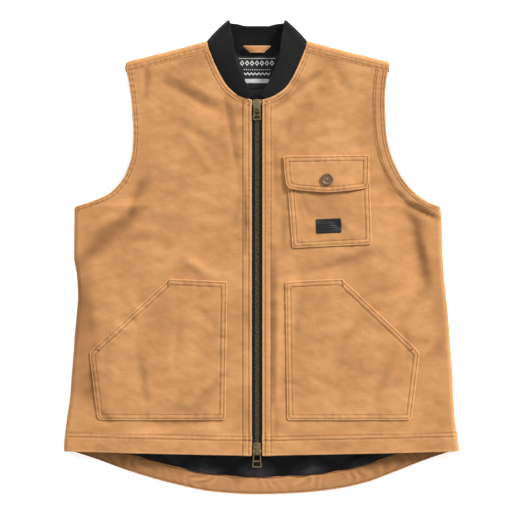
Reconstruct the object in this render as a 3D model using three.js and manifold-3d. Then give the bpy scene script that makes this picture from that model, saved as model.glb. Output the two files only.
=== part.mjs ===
// A zipped canvas work vest with a quilted lining and a ribbed collar, laid flat on its back.
// Lengths are millimetres. X runs across the chest, Y from the tail up to the collar, Z up from the table.
// Sewn layers are offsets of two surfaces, the fronts' outer face and the back's, so they never cross.
import * as THREE from "three";
import { mergeVertices } from "three/addons/utils/BufferGeometryUtils.js";
import Module from "manifold-3d";

const wasm = await Module();
wasm.setup();

// Body
const CHEST_HALF = 294; // zip to side fold, level with the armholes
const BODY_LENGTH = 760; // tail to the collar's two highest corners
const CANVAS = 1.4;
const LINING = 2.2;
const QUILT_PUFF = 1;
const QUILT_WIDTH = 86; // one diamond of the quilting, side to side
const QUILT_HEIGHT = 76;
const SEAM_GAP = 0.3; // between any two layers or sewn edges
const FOLD_RADIUS = 8.5; // outside of the cloth as it turns at the sides and shoulders
const CROWN = 8; // how far the front rises above its folded edges
const CROWN_REACH = 70;
const FOLD_FADE = 26; // the folds die out this close to a sewn edge
const HEM_BAND = 29; // depth of the turned hem, front and tail

// Zip
const TAPE_SHOWN = 9; // zip's centre to the canvas on either side
const TAPE_TUCK = 8; // canvas that covers the tape, before the lining starts
const TAPE = 0.9;
const TAPE_SEWN = 0.8; // share of the tuck that the tape fills
const CHAIN_WIDTH = 7.6;
const CHAIN_HEIGHT = 2.4;
const SLIDER_WIDTH = 15;
const SLIDER_LENGTH = 20;
const SLIDER_PLATE = 1.5;
const PULL_THICK = 1.6;
const PULL_WIRE = 1.9;
const PULL_TAPER = 0.72; // width at the eye, as a share of the width at the free end
const LUG_HEIGHT = 4.4;
const LUG_LENGTH = 15;
const LUG_WIDTH = 2.6;
const LUG_WALL = 1.2;
const LUG_FOOT = 0.2; // the lug's opening starts this far over the plate
const SLIDER_PROUD = 1.5; // the top slider past the neck's edge
const SLIDER_CLEAR = 0.5; // the bottom slider in from the hem
const POST_LENGTH = 4;
const POST_INSET = 1;
const EYE_BAR = 1.5;
const PULL_LEAN = 0.1; // radians down from level

// Pockets, label and button
const POCKET_HEIGHT = 225;
const POCKET_DROP = 340; // armhole line down to the pocket's base
const CHEST_POCKET_WIDTH = 137;
const CHEST_POCKET_HEIGHT = 146; // base to the top of the flap
const CHEST_POCKET_CENTRE = 114.5;
const CHEST_POCKET_DROP = 65;
const FLAP_DEPTH = 57;
const FLAP_SHIFT = -3.5; // the flap hangs this far nearer the zip than the pocket
const PATCH_WIDTH = 40;
const PATCH_HEIGHT = 22.5;
const PATCH_THICK = 1.2;
const PATCH_RISE = 35; // pocket's base to the patch's centre
const PATCH_TILT = 0.045; // radians
const BUTTON_RADIUS = 9.7;
const BUTTON_THICK = 3.2;
const BUTTON_FOOT = 1.2; // the underside is this much narrower all round
const BUTTON_EDGE = 0.6;
const BUTTON_RIM = 1.8;
const BUTTON_DISH = 1; // width of the slope inside the rim
const BUTTON_HOLE_RADIUS = 1.1;
const BUTTON_HOLE_APART = 4.4;
const BUTTON_RISE = 20; // flap's lowest edge to the button's centre
const BUTTON_SHIFT = 1; // flap's middle line to the button's centre

// Neck
const RIB = 2.6;
const COLLAR_FOLD_RADIUS = 4.2;
const COLLAR_STAND = 11; // the most that the collar's free edge stands over its seam
const COLLAR_PINCH = 2; // its peaks are this much narrower at the table and on top than between
const COLLAR_DIP = 2; // its edge sinks this much beside the centre back
const COLLAR_RISE = 2.4; // middle of the rib at the back neck seam
const COLLAR_LEAN = 12; // how far the back of the collar rises above the table
const COLLAR_GAP = 1.2; // clears the neckline where the rib tilts
const LABEL_WIDTH = 72;
const LABEL_HEIGHT = 51;
const LABEL_DROP = 14; // back neck seam to the label
const LABEL_THICK = 0.8;
const LOOP_LENGTH = 44;
const LOOP_NARROW = 0.66; // its lower edge, as a share of its length
const LOOP_WIDTH = 10;
const LOOP_THICK = 1.6;
const LOOP_ARCH = 2.4;
const LOOP_TUCK = 2; // its upper edge, past the neck seam

const QUARTER = Math.PI / 2;
const LEFT = -1;
const RIGHT = 1;

// Half widths as shares of CHEST_HALF at heights as shares of BODY_LENGTH, from hem to shoulder.
// inner: height of the same row at the zip or neck.
// curl: 1 where the cloth turns round the side, 0 at a free edge.
const OUTLINE = [
  { y: 0.093, left: 1.053, right: 1.103, inner: 0.085, curl: 1 },
  { y: 0.123, left: 1.05, right: 1.094, inner: 0.123, curl: 1 },
  { y: 0.165, left: 1.037, right: 1.08, inner: 0.165, curl: 1 },
  { y: 0.208, left: 1.021, right: 1.072, inner: 0.208, curl: 1 },
  { y: 0.25, left: 1.013, right: 1.069, inner: 0.25, curl: 1 },
  { y: 0.292, left: 1.004, right: 1.06, inner: 0.292, curl: 1 },
  { y: 0.335, left: 0.996, right: 1.052, inner: 0.335, curl: 1 },
  { y: 0.378, left: 0.986, right: 1.044, inner: 0.378, curl: 1 },
  { y: 0.42, left: 0.978, right: 1.033, inner: 0.42, curl: 1 },
  { y: 0.463, left: 0.984, right: 1.022, inner: 0.463, curl: 1 },
  { y: 0.505, left: 1, right: 1.014, inner: 0.505, curl: 1 },
  { y: 0.548, left: 0.999, right: 1.012, inner: 0.548, curl: 1 },
  { y: 0.607, left: 0.995, right: 1, inner: 0.592, curl: 1 },
  { y: 0.618, left: 0.913, right: 0.935, inner: 0.617, curl: 0.5 },
  { y: 0.637, left: 0.802, right: 0.862, inner: 0.642, curl: 0.2 },
  { y: 0.66, left: 0.742, right: 0.806, inner: 0.667, curl: 0 },
  { y: 0.685, left: 0.705, right: 0.766, inner: 0.692, curl: 0 },
  { y: 0.72, left: 0.679, right: 0.727, inner: 0.727, curl: 0 },
  { y: 0.764, left: 0.672, right: 0.704, inner: 0.777, curl: 0 },
  { y: 0.807, left: 0.677, right: 0.697, inner: 0.832, curl: 0 },
  { y: 0.828, left: 0.682, right: 0.696, inner: 0.842, curl: 0 },
  { y: 0.845, left: 0.687, right: 0.697, inner: 0.858, curl: 0 },
  { y: 0.862, left: 0.694, right: 0.701, inner: 0.88, curl: 0 },
  { y: 0.878, left: 0.7, right: 0.705, inner: 0.908, curl: 0 },
  { y: 0.894, left: 0.708, right: 0.712, inner: 0.937, curl: 0 },
  { y: 0.915, left: 0.717, right: 0.724, inner: 0.959, curl: 0 },
];
const HEM_ROW = 0;
const BAND_ROW = 1;
const ARMHOLE_ROW = 12;
const NECK_ROW = 19;
const SEAM_ROW = OUTLINE.length - 2;
const FOLD_ROW = OUTLINE.length - 1;

// Half width of the front neck, in the same shares.
const NECK = [
  { y: 0.832, half: 0.031 },
  { y: 0.836, half: 0.067 },
  { y: 0.842, half: 0.101 },
  { y: 0.858, half: 0.156 },
  { y: 0.88, half: 0.195 },
  { y: 0.908, half: 0.23 },
  { y: 0.937, half: 0.259 },
  { y: 0.959, half: 0.276 },
];
const BACK_NECK = 0.945; // lowest point of the back neck, share of BODY_LENGTH

// The curved tail: height of its edge across the width, x as a share of the hem's half width.
const TAIL = [
  { x: -1, y: 0.093 },
  { x: -0.86, y: 0.075 },
  { x: -0.68, y: 0.049 },
  { x: -0.46, y: 0.024 },
  { x: -0.22, y: 0.005 },
  { x: 0, y: 0 },
  { x: 0.21, y: 0.003 },
  { x: 0.41, y: 0.012 },
  { x: 0.56, y: 0.026 },
  { x: 0.71, y: 0.049 },
  { x: 0.87, y: 0.075 },
  { x: 1, y: 0.093 },
];

// Folds and dents of the front: a line between two points, in shares of CHEST_HALF and BODY_LENGTH,
// its reach as a share of CHEST_HALF and its height as a share of CROWN. Below zero it is a valley.
const FOLDS = [
  { x0: -0.6, y0: 0.91, x1: -0.61, y1: 0.84, reach: 0.06, height: -0.3 },
  { x0: -0.48, y0: 0.87, x1: -0.2, y1: 0.81, reach: 0.07, height: -0.35 },
  { x0: -0.66, y0: 0.6, x1: -0.95, y1: 0.49, reach: 0.1, height: -0.5 },
  { x0: -0.86, y0: 0.57, x1: -0.93, y1: 0.54, reach: 0.07, height: 0.3 },
  { x0: -0.62, y0: 0.66, x1: -0.72, y1: 0.53, reach: 0.08, height: -0.35 },
  { x0: -0.56, y0: 0.45, x1: -0.41, y1: 0.51, reach: 0.08, height: 0.25 },
  { x0: -0.41, y0: 0.51, x1: -0.25, y1: 0.46, reach: 0.08, height: 0.25 },
  { x0: -0.92, y0: 0.42, x1: -0.9, y1: 0.32, reach: 0.1, height: -0.4 },
  { x0: -0.6, y0: 0.16, x1: -0.22, y1: 0.16, reach: 0.06, height: -0.3 },
  { x0: 0.13, y0: 0.47, x1: 0.1, y1: 0.16, reach: 0.06, height: 0.3 },
  { x0: 0.08, y0: 0.8, x1: 0.2, y1: 0.86, reach: 0.06, height: -0.35 },
  { x0: 0.17, y0: 0.77, x1: 0.35, y1: 0.85, reach: 0.07, height: -0.3 },
  { x0: 0.83, y0: 0.59, x1: 0.92, y1: 0.45, reach: 0.1, height: -0.5 },
  { x0: 0.92, y0: 0.45, x1: 0.78, y1: 0.35, reach: 0.09, height: -0.35 },
  { x0: 0.25, y0: 0.47, x1: 0.66, y1: 0.5, reach: 0.07, height: -0.35 },
  { x0: 0.72, y0: 0.29, x1: 0.62, y1: 0.19, reach: 0.07, height: -0.3 },
  { x0: 0.56, y0: 0.37, x1: 0.42, y1: 0.3, reach: 0.07, height: -0.25 },
];

// Reads column name of a table at height y, straight between its rows.
function readAt(table, y, name, key = "y") {
  const last = table.length - 1;
  if (y <= table[0][key]) return table[0][name];
  if (y >= table[last][key]) return table[last][name];
  const i = table.findIndex((row) => row[key] >= y);
  const low = table[i - 1];
  const high = table[i];
  return low[name] + ((high[name] - low[name]) * (y - low[key])) / (high[key] - low[key]);
}

const sideName = (side) => (side < 0 ? "left" : "right");
const outlineHalf = (side, y) => CHEST_HALF * readAt(OUTLINE, y / BODY_LENGTH, sideName(side));
const curlAt = (y) => readAt(OUTLINE, y / BODY_LENGTH, "curl");
const neckHalf = (y) => Math.max(TAPE_SHOWN, CHEST_HALF * readAt(NECK, y / BODY_LENGTH, "half"));

// Width and drop of the turned edge after an arc of the given angle; a curl of 0 leaves it flat.
function turn(curl, angle) {
  if (curl < 0.01) return { out: FOLD_RADIUS * angle, drop: 0, lean: 0 };
  const radius = FOLD_RADIUS / curl;
  const lean = angle * curl;
  return { out: radius * Math.sin(lean), drop: radius * (1 - Math.cos(lean)), lean };
}
const flatHalf = (side, y) => outlineHalf(side, y) - turn(curlAt(y), QUARTER).out;

// Height of the shoulder fold over the table plane's Y axis, and of the forward seam, at x.
function alongShoulder(side, x, row) {
  const end = { x: CHEST_HALF * row[sideName(side)], y: BODY_LENGTH * row.y };
  const neck = { x: neckHalf(BODY_LENGTH * row.inner), y: BODY_LENGTH * row.inner };
  const share = (Math.abs(x) - neck.x) / (end.x - neck.x);
  return neck.y + (end.y - neck.y) * share;
}

const rise = (distance, reach) => 1 - Math.exp(-((Math.max(0, distance) / reach) ** 2));

function foldHeight(x, y) {
  let sum = 0;
  for (const fold of FOLDS) {
    const a = new THREE.Vector2(fold.x0 * CHEST_HALF, fold.y0 * BODY_LENGTH);
    const b = new THREE.Vector2(fold.x1 * CHEST_HALF, fold.y1 * BODY_LENGTH);
    const along = b.clone().sub(a);
    const point = new THREE.Vector2(x, y);
    const share = THREE.MathUtils.clamp(point.clone().sub(a).dot(along) / along.lengthSq(), 0, 1);
    const distance = a.addScaledVector(along, share).distanceTo(point);
    sum += fold.height * CROWN * Math.exp(-((distance / (fold.reach * CHEST_HALF)) ** 2));
  }
  return sum;
}

// Height of the front's outer face: the two folded layers, a soft crown between the edges, and the folds.
function topHeight(x, y) {
  const side = x < 0 ? LEFT : RIGHT;
  const inward = flatHalf(side, y) - Math.abs(x);
  const down = alongShoulder(side, Math.max(Math.abs(x), neckHalf(y)), OUTLINE[SEAM_ROW]) - y;
  const fade = rise(inward, FOLD_FADE) * rise(down, FOLD_FADE) * rise(Math.abs(x) - TAPE_SHOWN, FOLD_FADE);
  const crown = CROWN * rise(inward, CROWN_REACH) * rise(down, CROWN_REACH);
  return 2 * FOLD_RADIUS + crown + fade * foldHeight(x, y);
}

function topNormal(x, y) {
  const step = 1;
  const slopeX = (topHeight(x + step, y) - topHeight(x - step, y)) / (2 * step);
  const slopeY = (topHeight(x, y + step) - topHeight(x, y - step)) / (2 * step);
  return new THREE.Vector3(-slopeX, -slopeY, 1).normalize();
}

// A surface is rows of points, each with its outward normal. The columns run out from the zip.
const FRONT_COLUMNS = [0.13, 0.27, 0.41, 0.56, 0.71, 0.86, 1];
const TURN_STEPS = [0.5, 1];
const seamAngle = (share) => share * (QUARTER - SEAM_GAP / 2 / FOLD_RADIUS);

function frontRow(side, row) {
  const outer = BODY_LENGTH * row.y;
  const inner = BODY_LENGTH * row.inner;
  const start = neckHalf(inner);
  const end = flatHalf(side, outer);
  const climb = (outer - inner) / (outlineHalf(side, outer) - start);
  const level = (x) => inner + (Math.abs(x) - start) * climb;
  const first = TAPE_TUCK / (end - start);
  const shares = [0, first, ...FRONT_COLUMNS.map((share) => first + (1 - first) * share)];
  const flat = shares.map((share) => {
    const x = side * (start + (end - start) * share);
    const y = level(x);
    return { p: new THREE.Vector3(x, y, topHeight(x, y)), n: topNormal(x, y) };
  });
  const edge = flat[flat.length - 1].p;
  const turned = TURN_STEPS.map((step) => {
    const arc = turn(row.curl, seamAngle(step));
    const x = edge.x + side * arc.out;
    const p = new THREE.Vector3(x, level(x), edge.z - arc.drop);
    return { p, n: new THREE.Vector3(side * Math.sin(arc.lean), 0, Math.cos(arc.lean)) };
  });
  return [...flat, ...turned];
}
const frontSurface = (side) => OUTLINE.slice(0, FOLD_ROW).map((row) => frontRow(side, row));

// The back, from the left side seam to the right one. The columns at NECK_SHARE meet the neck's corners.
const NECK_SHARE = 0.4;
const BACK_COLUMNS = [0.2, NECK_SHARE, 0.6, 0.8, 1];
const HALF_COLUMNS = BACK_COLUMNS.length + TURN_STEPS.length;

const foldFlat = (side, x) => alongShoulder(side, x, OUTLINE[FOLD_ROW]) - FOLD_RADIUS;

function backTop(side, x) {
  const corner = neckHalf(BODY_LENGTH * OUTLINE[FOLD_ROW].inner);
  if (Math.abs(x) >= corner) return foldFlat(side, x);
  const low = BACK_NECK * BODY_LENGTH;
  return low + (foldFlat(side, corner) - low) * (x / corner) ** 2;
}
const tailEdge = (share) => BODY_LENGTH * readAt(TAIL, share, "y", "x");

const armholeLine = BODY_LENGTH * OUTLINE[ARMHOLE_ROW].y;
const shoulderTip = (side, y) => foldFlat(side, outlineHalf(side, y));

// 0 up to the armhole's foot and 1 at the shoulder's tip.
function upperShare(side, y) {
  return THREE.MathUtils.clamp((y - armholeLine) / (shoulderTip(side, y) - armholeLine), 0, 1);
}

// A point of the back at a column's share of the half width, for a row whose ends are at height y.
function backPoint(side, share, y, lift) {
  const bottom = BODY_LENGTH * OUTLINE[HEM_ROW].y + lift;
  const corner = neckHalf(BODY_LENGTH * OUTLINE[FOLD_ROW].inner);
  const upper = upperShare(side, y);
  const end = flatHalf(side, y);
  const even = share * end;
  const fitted = share <= NECK_SHARE
    ? (share / NECK_SHARE) * corner
    : corner + ((end - corner) * (share - NECK_SHARE)) / (1 - NECK_SHARE);
  const x = side * (even + (fitted - even) * upper);
  const lower = THREE.MathUtils.clamp((y - bottom) / (armholeLine - bottom), 0, 1);
  const sag = tailEdge(side * share) - BODY_LENGTH * OUTLINE[HEM_ROW].y;
  const climb = backTop(side, x) - shoulderTip(side, y);
  return { x, y: y + sag * (1 - lower) + climb * upper };
}

function backHalfRow(side, y, lift) {
  const down = () => new THREE.Vector3(0, 0, -1);
  const flat = BACK_COLUMNS.map((share) => {
    const at = backPoint(side, share, y, lift);
    return { p: new THREE.Vector3(at.x, at.y, 0), n: down() };
  });
  const edge = flat[flat.length - 1].p;
  const turned = TURN_STEPS.map((step) => {
    const arc = turn(curlAt(y), seamAngle(step));
    const x = edge.x + side * arc.out;
    const climb = (backTop(side, x) - backTop(side, edge.x)) * upperShare(side, y);
    const p = new THREE.Vector3(x, edge.y + climb, arc.drop);
    return { p, n: new THREE.Vector3(side * Math.sin(arc.lean), 0, -Math.cos(arc.lean)) };
  });
  return [...flat, ...turned];
}

function backRow(y, lift) {
  const middle = backPoint(RIGHT, 0, y, lift);
  const centre = { p: new THREE.Vector3(0, middle.y, 0), n: new THREE.Vector3(0, 0, -1) };
  return [...backHalfRow(LEFT, y, lift).reverse(), centre, ...backHalfRow(RIGHT, y, lift)];
}

// The cloth that goes round the shoulder fold and forward to the seam, as rows above the last flat one.
const SHOULDER_TURN = [0.25, 0.5, 0.75, 1];

function shoulderRows(flatRow) {
  const angles = SHOULDER_TURN.map((share) => share * Math.PI);
  const rows = angles.map((angle) =>
    flatRow.map(({ p }) => {
      const y = p.y + FOLD_RADIUS * Math.sin(angle);
      const z = FOLD_RADIUS * (1 - Math.cos(angle));
      const n = new THREE.Vector3(0, Math.sin(angle), -Math.cos(angle));
      return { p: new THREE.Vector3(p.x, y, z), n };
    }),
  );
  const forward = flatRow.map(({ p }) => {
    const side = p.x < 0 ? LEFT : RIGHT;
    const y = alongShoulder(side, p.x, OUTLINE[SEAM_ROW]) + SEAM_GAP;
    return { p: new THREE.Vector3(p.x, y, 2 * FOLD_RADIUS), n: new THREE.Vector3(0, 0, 1) };
  });
  return [...rows, forward];
}

// lift raises the lowest row from the tail's edge, for the lining that starts above the tail's facing.
// A row of the outline that comes nearer than ROW_APART to the lowest one is left out.
const ROW_APART = 17;
function backSurface(lift) {
  const start = BODY_LENGTH * OUTLINE[HEM_ROW].y + lift;
  const tip = OUTLINE[FOLD_ROW].y * BODY_LENGTH - FOLD_RADIUS;
  const between = OUTLINE.slice(BAND_ROW, SEAM_ROW)
    .map((row) => row.y * BODY_LENGTH)
    .filter((y) => y > start + ROW_APART);
  const flat = [start, ...between, tip].map((y) => backRow(y, lift));
  return [...flat, ...shoulderRows(flat[flat.length - 1])];
}
const FLAP_ROWS = SHOULDER_TURN.length + 1;
const keepBack = (surface) => (i, j) => {
  const flat = surface.length - 1 - FLAP_ROWS;
  if (i < flat) return true;
  const middle = HALF_COLUMNS;
  const neckColumns = BACK_COLUMNS.indexOf(NECK_SHARE) + 1;
  return j < middle - neckColumns || j >= middle + neckColumns;
};

// Turns a three.js geometry into a manifold-3d solid, and back.
function toSolid(geometry) {
  const bare = geometry.clone();
  bare.deleteAttribute("normal");
  bare.deleteAttribute("uv");
  const merged = mergeVertices(bare, 1e-4);
  return new wasm.Manifold(
    new wasm.Mesh({
      numProp: 3,
      vertProperties: new Float32Array(merged.attributes.position.array),
      triVerts: new Uint32Array(merged.index.array),
    }),
  );
}
function toGeometry(solid) {
  const mesh = solid.getMesh();
  const geometry = new THREE.BufferGeometry();
  geometry.setAttribute("position", new THREE.BufferAttribute(mesh.vertProperties, 3));
  geometry.setIndex(new THREE.BufferAttribute(mesh.triVerts, 1));
  return geometry;
}

// A closed wall over the kept squares of a surface, between two distances along its normals.
function wall(surface, outer, inner, keep = () => true) {
  const positions = [];
  const index = new Map();
  const corner = (i, j, layer) => {
    const key = `${i},${j},${layer}`;
    if (!index.has(key)) {
      const { p, n } = surface[i][j];
      const away = layer ? inner(i, j) : outer(i, j);
      index.set(key, positions.length / 3);
      positions.push(p.x + n.x * away, p.y + n.y * away, p.z + n.z * away);
    }
    return index.get(key);
  };
  const faces = [];
  const quad = (a, b, c, d) => faces.push(a, b, c, a, c, d);
  const kept = (i, j) =>
    i >= 0 && j >= 0 && i < surface.length - 1 && j < surface[0].length - 1 && keep(i, j);
  for (let i = 0; i < surface.length - 1; i += 1)
    for (let j = 0; j < surface[0].length - 1; j += 1) {
      if (!kept(i, j)) continue;
      const at = (di, dj, layer) => corner(i + di, j + dj, layer);
      quad(at(0, 0, 0), at(0, 1, 0), at(1, 1, 0), at(1, 0, 0));
      faces.push(at(0, 0, 1), at(1, 1, 1), at(0, 1, 1), at(0, 0, 1), at(1, 0, 1), at(1, 1, 1));
      if (!kept(i - 1, j)) quad(at(0, 1, 0), at(0, 0, 0), at(0, 0, 1), at(0, 1, 1));
      if (!kept(i + 1, j)) quad(at(1, 0, 0), at(1, 1, 0), at(1, 1, 1), at(1, 0, 1));
      if (!kept(i, j - 1)) quad(at(0, 0, 0), at(1, 0, 0), at(1, 0, 1), at(0, 0, 1));
      if (!kept(i, j + 1)) quad(at(1, 1, 0), at(0, 1, 0), at(0, 1, 1), at(1, 1, 1));
    }
  const geometry = new THREE.BufferGeometry();
  geometry.setAttribute("position", new THREE.Float32BufferAttribute(positions, 3));
  geometry.setIndex(faces);
  return facingOut(geometry);
}

// A mirrored surface winds the other way, so a geometry whose volume is negative is turned round.
function facingOut(geometry) {
  const p = geometry.attributes.position;
  const face = geometry.index.array;
  const [a, b, c] = [new THREE.Vector3(), new THREE.Vector3(), new THREE.Vector3()];
  let volume = 0;
  for (let i = 0; i < face.length; i += 3) {
    a.fromBufferAttribute(p, face[i]);
    b.fromBufferAttribute(p, face[i + 1]);
    c.fromBufferAttribute(p, face[i + 2]);
    volume += a.dot(b.cross(c));
  }
  if (volume < 0)
    for (let i = 0; i < face.length; i += 3) [face[i + 1], face[i + 2]] = [face[i + 2], face[i + 1]];
  return geometry;
}

// The part of a layer that lies over an outline drawn in the XY plane.
function cutFrom(layer, points) {
  const shape = new THREE.Shape(points);
  const depth = 4 * BODY_LENGTH;
  const prism = new THREE.ExtrudeGeometry(shape, { depth, bevelEnabled: false });
  prism.translate(0, 0, -depth / 2);
  return toGeometry(toSolid(layer).intersect(toSolid(prism)));
}

// Materials
const cloth = (color, roughness) => new THREE.MeshStandardMaterial({ color, roughness, metalness: 0 });
const DUCK_CANVAS = cloth(0xd29a62, 0.9);
const QUILTED_SATIN = cloth(0x1c1b1d, 0.5);
const RIB_KNIT = cloth(0x1d1d1c, 0.95);
const ZIP_TAPE = cloth(0x232224, 0.85);
const BLACK_PATCH = cloth(0x22252a, 0.6);
const HORN_BUTTON = cloth(0x6e5846, 0.4);
const OLD_BRASS = new THREE.MeshStandardMaterial({ color: 0x9a8a63, roughness: 0.35, metalness: 1 });

const vest = new THREE.Group();
function add(name, geometry, material) {
  const mesh = new THREE.Mesh(geometry, material);
  mesh.name = name;
  vest.add(mesh);
  return mesh;
}

// Layers, as distances along the outward normal.
const LINING_OUTER = -(CANVAS + SEAM_GAP);
const FIRST_LAYER = SEAM_GAP;
const SECOND_LAYER = FIRST_LAYER + CANVAS + SEAM_GAP;
const constant = (value) => () => value;

// Diamond quilting: thin along the stitched lines, thickest at the middle of each diamond.
function quilt(p) {
  const a = Math.PI * (p.x / QUILT_WIDTH + p.y / QUILT_HEIGHT);
  const b = Math.PI * (p.x / QUILT_WIDTH - p.y / QUILT_HEIGHT);
  return QUILT_PUFF * Math.abs(Math.sin(a) * Math.sin(b));
}
const liningInner = (surface) => (i, j) => LINING_OUTER - LINING - quilt(surface[i][j].p);

const fronts = {};
for (const side of [LEFT, RIGHT]) {
  const wearer = side < 0 ? "right" : "left"; // the vest's own right is on the viewer's left
  const surface = frontSurface(side);
  fronts[side] = surface;
  add(`front_panel_${wearer}`, wall(surface, constant(0), constant(-CANVAS)), DUCK_CANVAS);
  const behindZip = (i, j) => i >= BAND_ROW && j >= 1;
  const lining = wall(surface, constant(LINING_OUTER), liningInner(surface), behindZip);
  add(`lining_front_${wearer}`, lining, QUILTED_SATIN);
}

const back = backSurface(0);
add("back_panel", wall(back, constant(0), constant(-CANVAS), keepBack(back)), DUCK_CANVAS);
const backLining = backSurface(HEM_BAND + SEAM_GAP);
const keepLining = keepBack(backLining);
const backLiningWall = wall(backLining, constant(LINING_OUTER), liningInner(backLining), keepLining);
add("lining_back", backLiningWall, QUILTED_SATIN);

// The facing that turns the tail's curved edge to the inside.
function tailFacing() {
  const across = [...BACK_COLUMNS.map((share) => -share).reverse(), 0, ...BACK_COLUMNS];
  const edge = (lift) =>
    across.map((share) => {
      const side = share < 0 ? LEFT : RIGHT;
      const y = BODY_LENGTH * OUTLINE[HEM_ROW].y + lift;
      const p = new THREE.Vector3(share * flatHalf(side, y), tailEdge(share) + lift, 0);
      return { p, n: new THREE.Vector3(0, 0, -1) };
    });
  return wall([edge(SEAM_GAP), edge(HEM_BAND)], constant(LINING_OUTER), constant(LINING_OUTER - CANVAS));
}
add("tail_facing", tailFacing(), DUCK_CANVAS);

// Pockets: outlines as shares of a pocket's width and height, from its lower inner corner.
const POCKET_OUTLINE = [
  { u: 0.025, v: 0 },
  { u: 0.014, v: 0.01 },
  { u: 0, v: 0.98 },
  { u: 0.42, v: 1 },
  { u: 0.967, v: 0.51 },
  { u: 1, v: 0.468 },
  { u: 0.943, v: 0.02 },
  { u: 0.925, v: 0 },
];
// Each hand pocket's inner edge and width, as shares of CHEST_HALF.
const HAND_POCKETS = [
  { side: LEFT, inset: 0.163, width: 0.748 },
  { side: RIGHT, inset: 0.155, width: 0.728 },
];
const CHEST_OUTLINE = [
  { u: 0.09, v: 0 },
  { u: 0.078, v: 0.015 },
  { u: 0, v: 1 },
  { u: 0.97, v: 1 },
  { u: 1, v: 0.06 },
  { u: 0.985, v: 0.042 },
];
const FLAP_OUTLINE = [
  { u: 0, v: 1 },
  { u: 0.015, v: 0.5 },
  { u: 0.035, v: 0.2 },
  { u: 0.07, v: 0.1 },
  { u: 0.2, v: 0.05 },
  { u: 0.35, v: 0.02 },
  { u: 0.5, v: 0 },
  { u: 0.65, v: 0.02 },
  { u: 0.8, v: 0.06 },
  { u: 0.93, v: 0.1 },
  { u: 0.975, v: 0.13 },
  { u: 0.99, v: 0.3 },
  { u: 1, v: 1.04 },
];
function drawn(outline, { side = RIGHT, x, y, width, height }) {
  return outline.map(({ u, v }) => new THREE.Vector2(side * (x + u * width), y + v * height));
}
for (const { side, inset, width } of HAND_POCKETS) {
  const wearer = side < 0 ? "right" : "left";
  const layer = wall(fronts[side], constant(FIRST_LAYER + CANVAS), constant(FIRST_LAYER));
  const points = drawn(POCKET_OUTLINE, {
    side,
    x: inset * CHEST_HALF,
    y: armholeLine - POCKET_DROP,
    width: width * CHEST_HALF,
    height: POCKET_HEIGHT,
  });
  add(`hand_pocket_${wearer}`, cutFrom(layer, points), DUCK_CANVAS);
}

const chestBase = armholeLine - CHEST_POCKET_DROP;
const chestInner = CHEST_POCKET_CENTRE - CHEST_POCKET_WIDTH / 2;
const chestTop = chestBase + CHEST_POCKET_HEIGHT;
const chestFront = fronts[RIGHT];
const pocketLayer = wall(chestFront, constant(FIRST_LAYER + CANVAS), constant(FIRST_LAYER));
const flapLayer = wall(chestFront, constant(SECOND_LAYER + CANVAS), constant(SECOND_LAYER));
const patchLayer = wall(chestFront, constant(SECOND_LAYER + PATCH_THICK), constant(SECOND_LAYER));
const chestPoints = drawn(CHEST_OUTLINE, {
  x: chestInner,
  y: chestBase,
  width: CHEST_POCKET_WIDTH,
  height: CHEST_POCKET_HEIGHT,
});
add("chest_pocket", cutFrom(pocketLayer, chestPoints), DUCK_CANVAS);
const flapLow = chestTop - FLAP_DEPTH;
const flapPoints = drawn(FLAP_OUTLINE, {
  x: chestInner + FLAP_SHIFT,
  y: flapLow,
  width: CHEST_POCKET_WIDTH,
  height: FLAP_DEPTH,
});
add("chest_flap", cutFrom(flapLayer, flapPoints), DUCK_CANVAS);

function rectangle(centre, width, height, tilt = 0) {
  const corners = [
    [-0.5, -0.5],
    [0.5, -0.5],
    [0.5, 0.5],
    [-0.5, 0.5],
  ];
  return corners.map(([u, v]) =>
    new THREE.Vector2(u * width, v * height).rotateAround(new THREE.Vector2(), tilt).add(centre),
  );
}
const patchCentre = new THREE.Vector2(CHEST_POCKET_CENTRE, chestBase + PATCH_RISE);
const patchPoints = rectangle(patchCentre, PATCH_WIDTH, PATCH_HEIGHT, PATCH_TILT);
add("pocket_patch", cutFrom(patchLayer, patchPoints), BLACK_PATCH);

// A turned button with a raised rim and two thread holes, resting on the flap.
function button() {
  const top = BUTTON_RADIUS - BUTTON_EDGE;
  const profile = [
    [0, 0],
    [BUTTON_RADIUS - BUTTON_FOOT, 0],
    [BUTTON_RADIUS, BUTTON_THICK * 0.4],
    [top, BUTTON_THICK],
    [top - BUTTON_RIM, BUTTON_THICK],
    [top - BUTTON_RIM - BUTTON_DISH, BUTTON_THICK * 0.7],
    [0, BUTTON_THICK * 0.7],
  ].map(([r, z]) => new THREE.Vector2(r, z));
  const turned = new THREE.LatheGeometry(profile, 20);
  turned.rotateX(QUARTER);
  let solid = toSolid(turned);
  for (const way of [-1, 1]) {
    const hole = new THREE.CylinderGeometry(BUTTON_HOLE_RADIUS, BUTTON_HOLE_RADIUS, 4 * BUTTON_THICK, 8);
    hole.rotateX(QUARTER);
    hole.translate(0, (way * BUTTON_HOLE_APART) / 2, 0);
    solid = solid.subtract(toSolid(hole));
  }
  return toGeometry(solid);
}
function highestUnder(x, y, radius) {
  const around = Array.from({ length: 8 }, (_, k) => (k * Math.PI) / 4);
  const at = (angle) => topHeight(x + radius * Math.cos(angle), y + radius * Math.sin(angle));
  return Math.max(topHeight(x, y), ...around.map(at));
}
const buttonY = flapLow + BUTTON_RISE;
const buttonMesh = add("button", button(), HORN_BUTTON);
const buttonX = CHEST_POCKET_CENTRE + FLAP_SHIFT + BUTTON_SHIFT;
const flapTop = highestUnder(buttonX, buttonY, BUTTON_RADIUS) + SECOND_LAYER + CANVAS;
buttonMesh.position.set(buttonX, buttonY, flapTop + SEAM_GAP);

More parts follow.
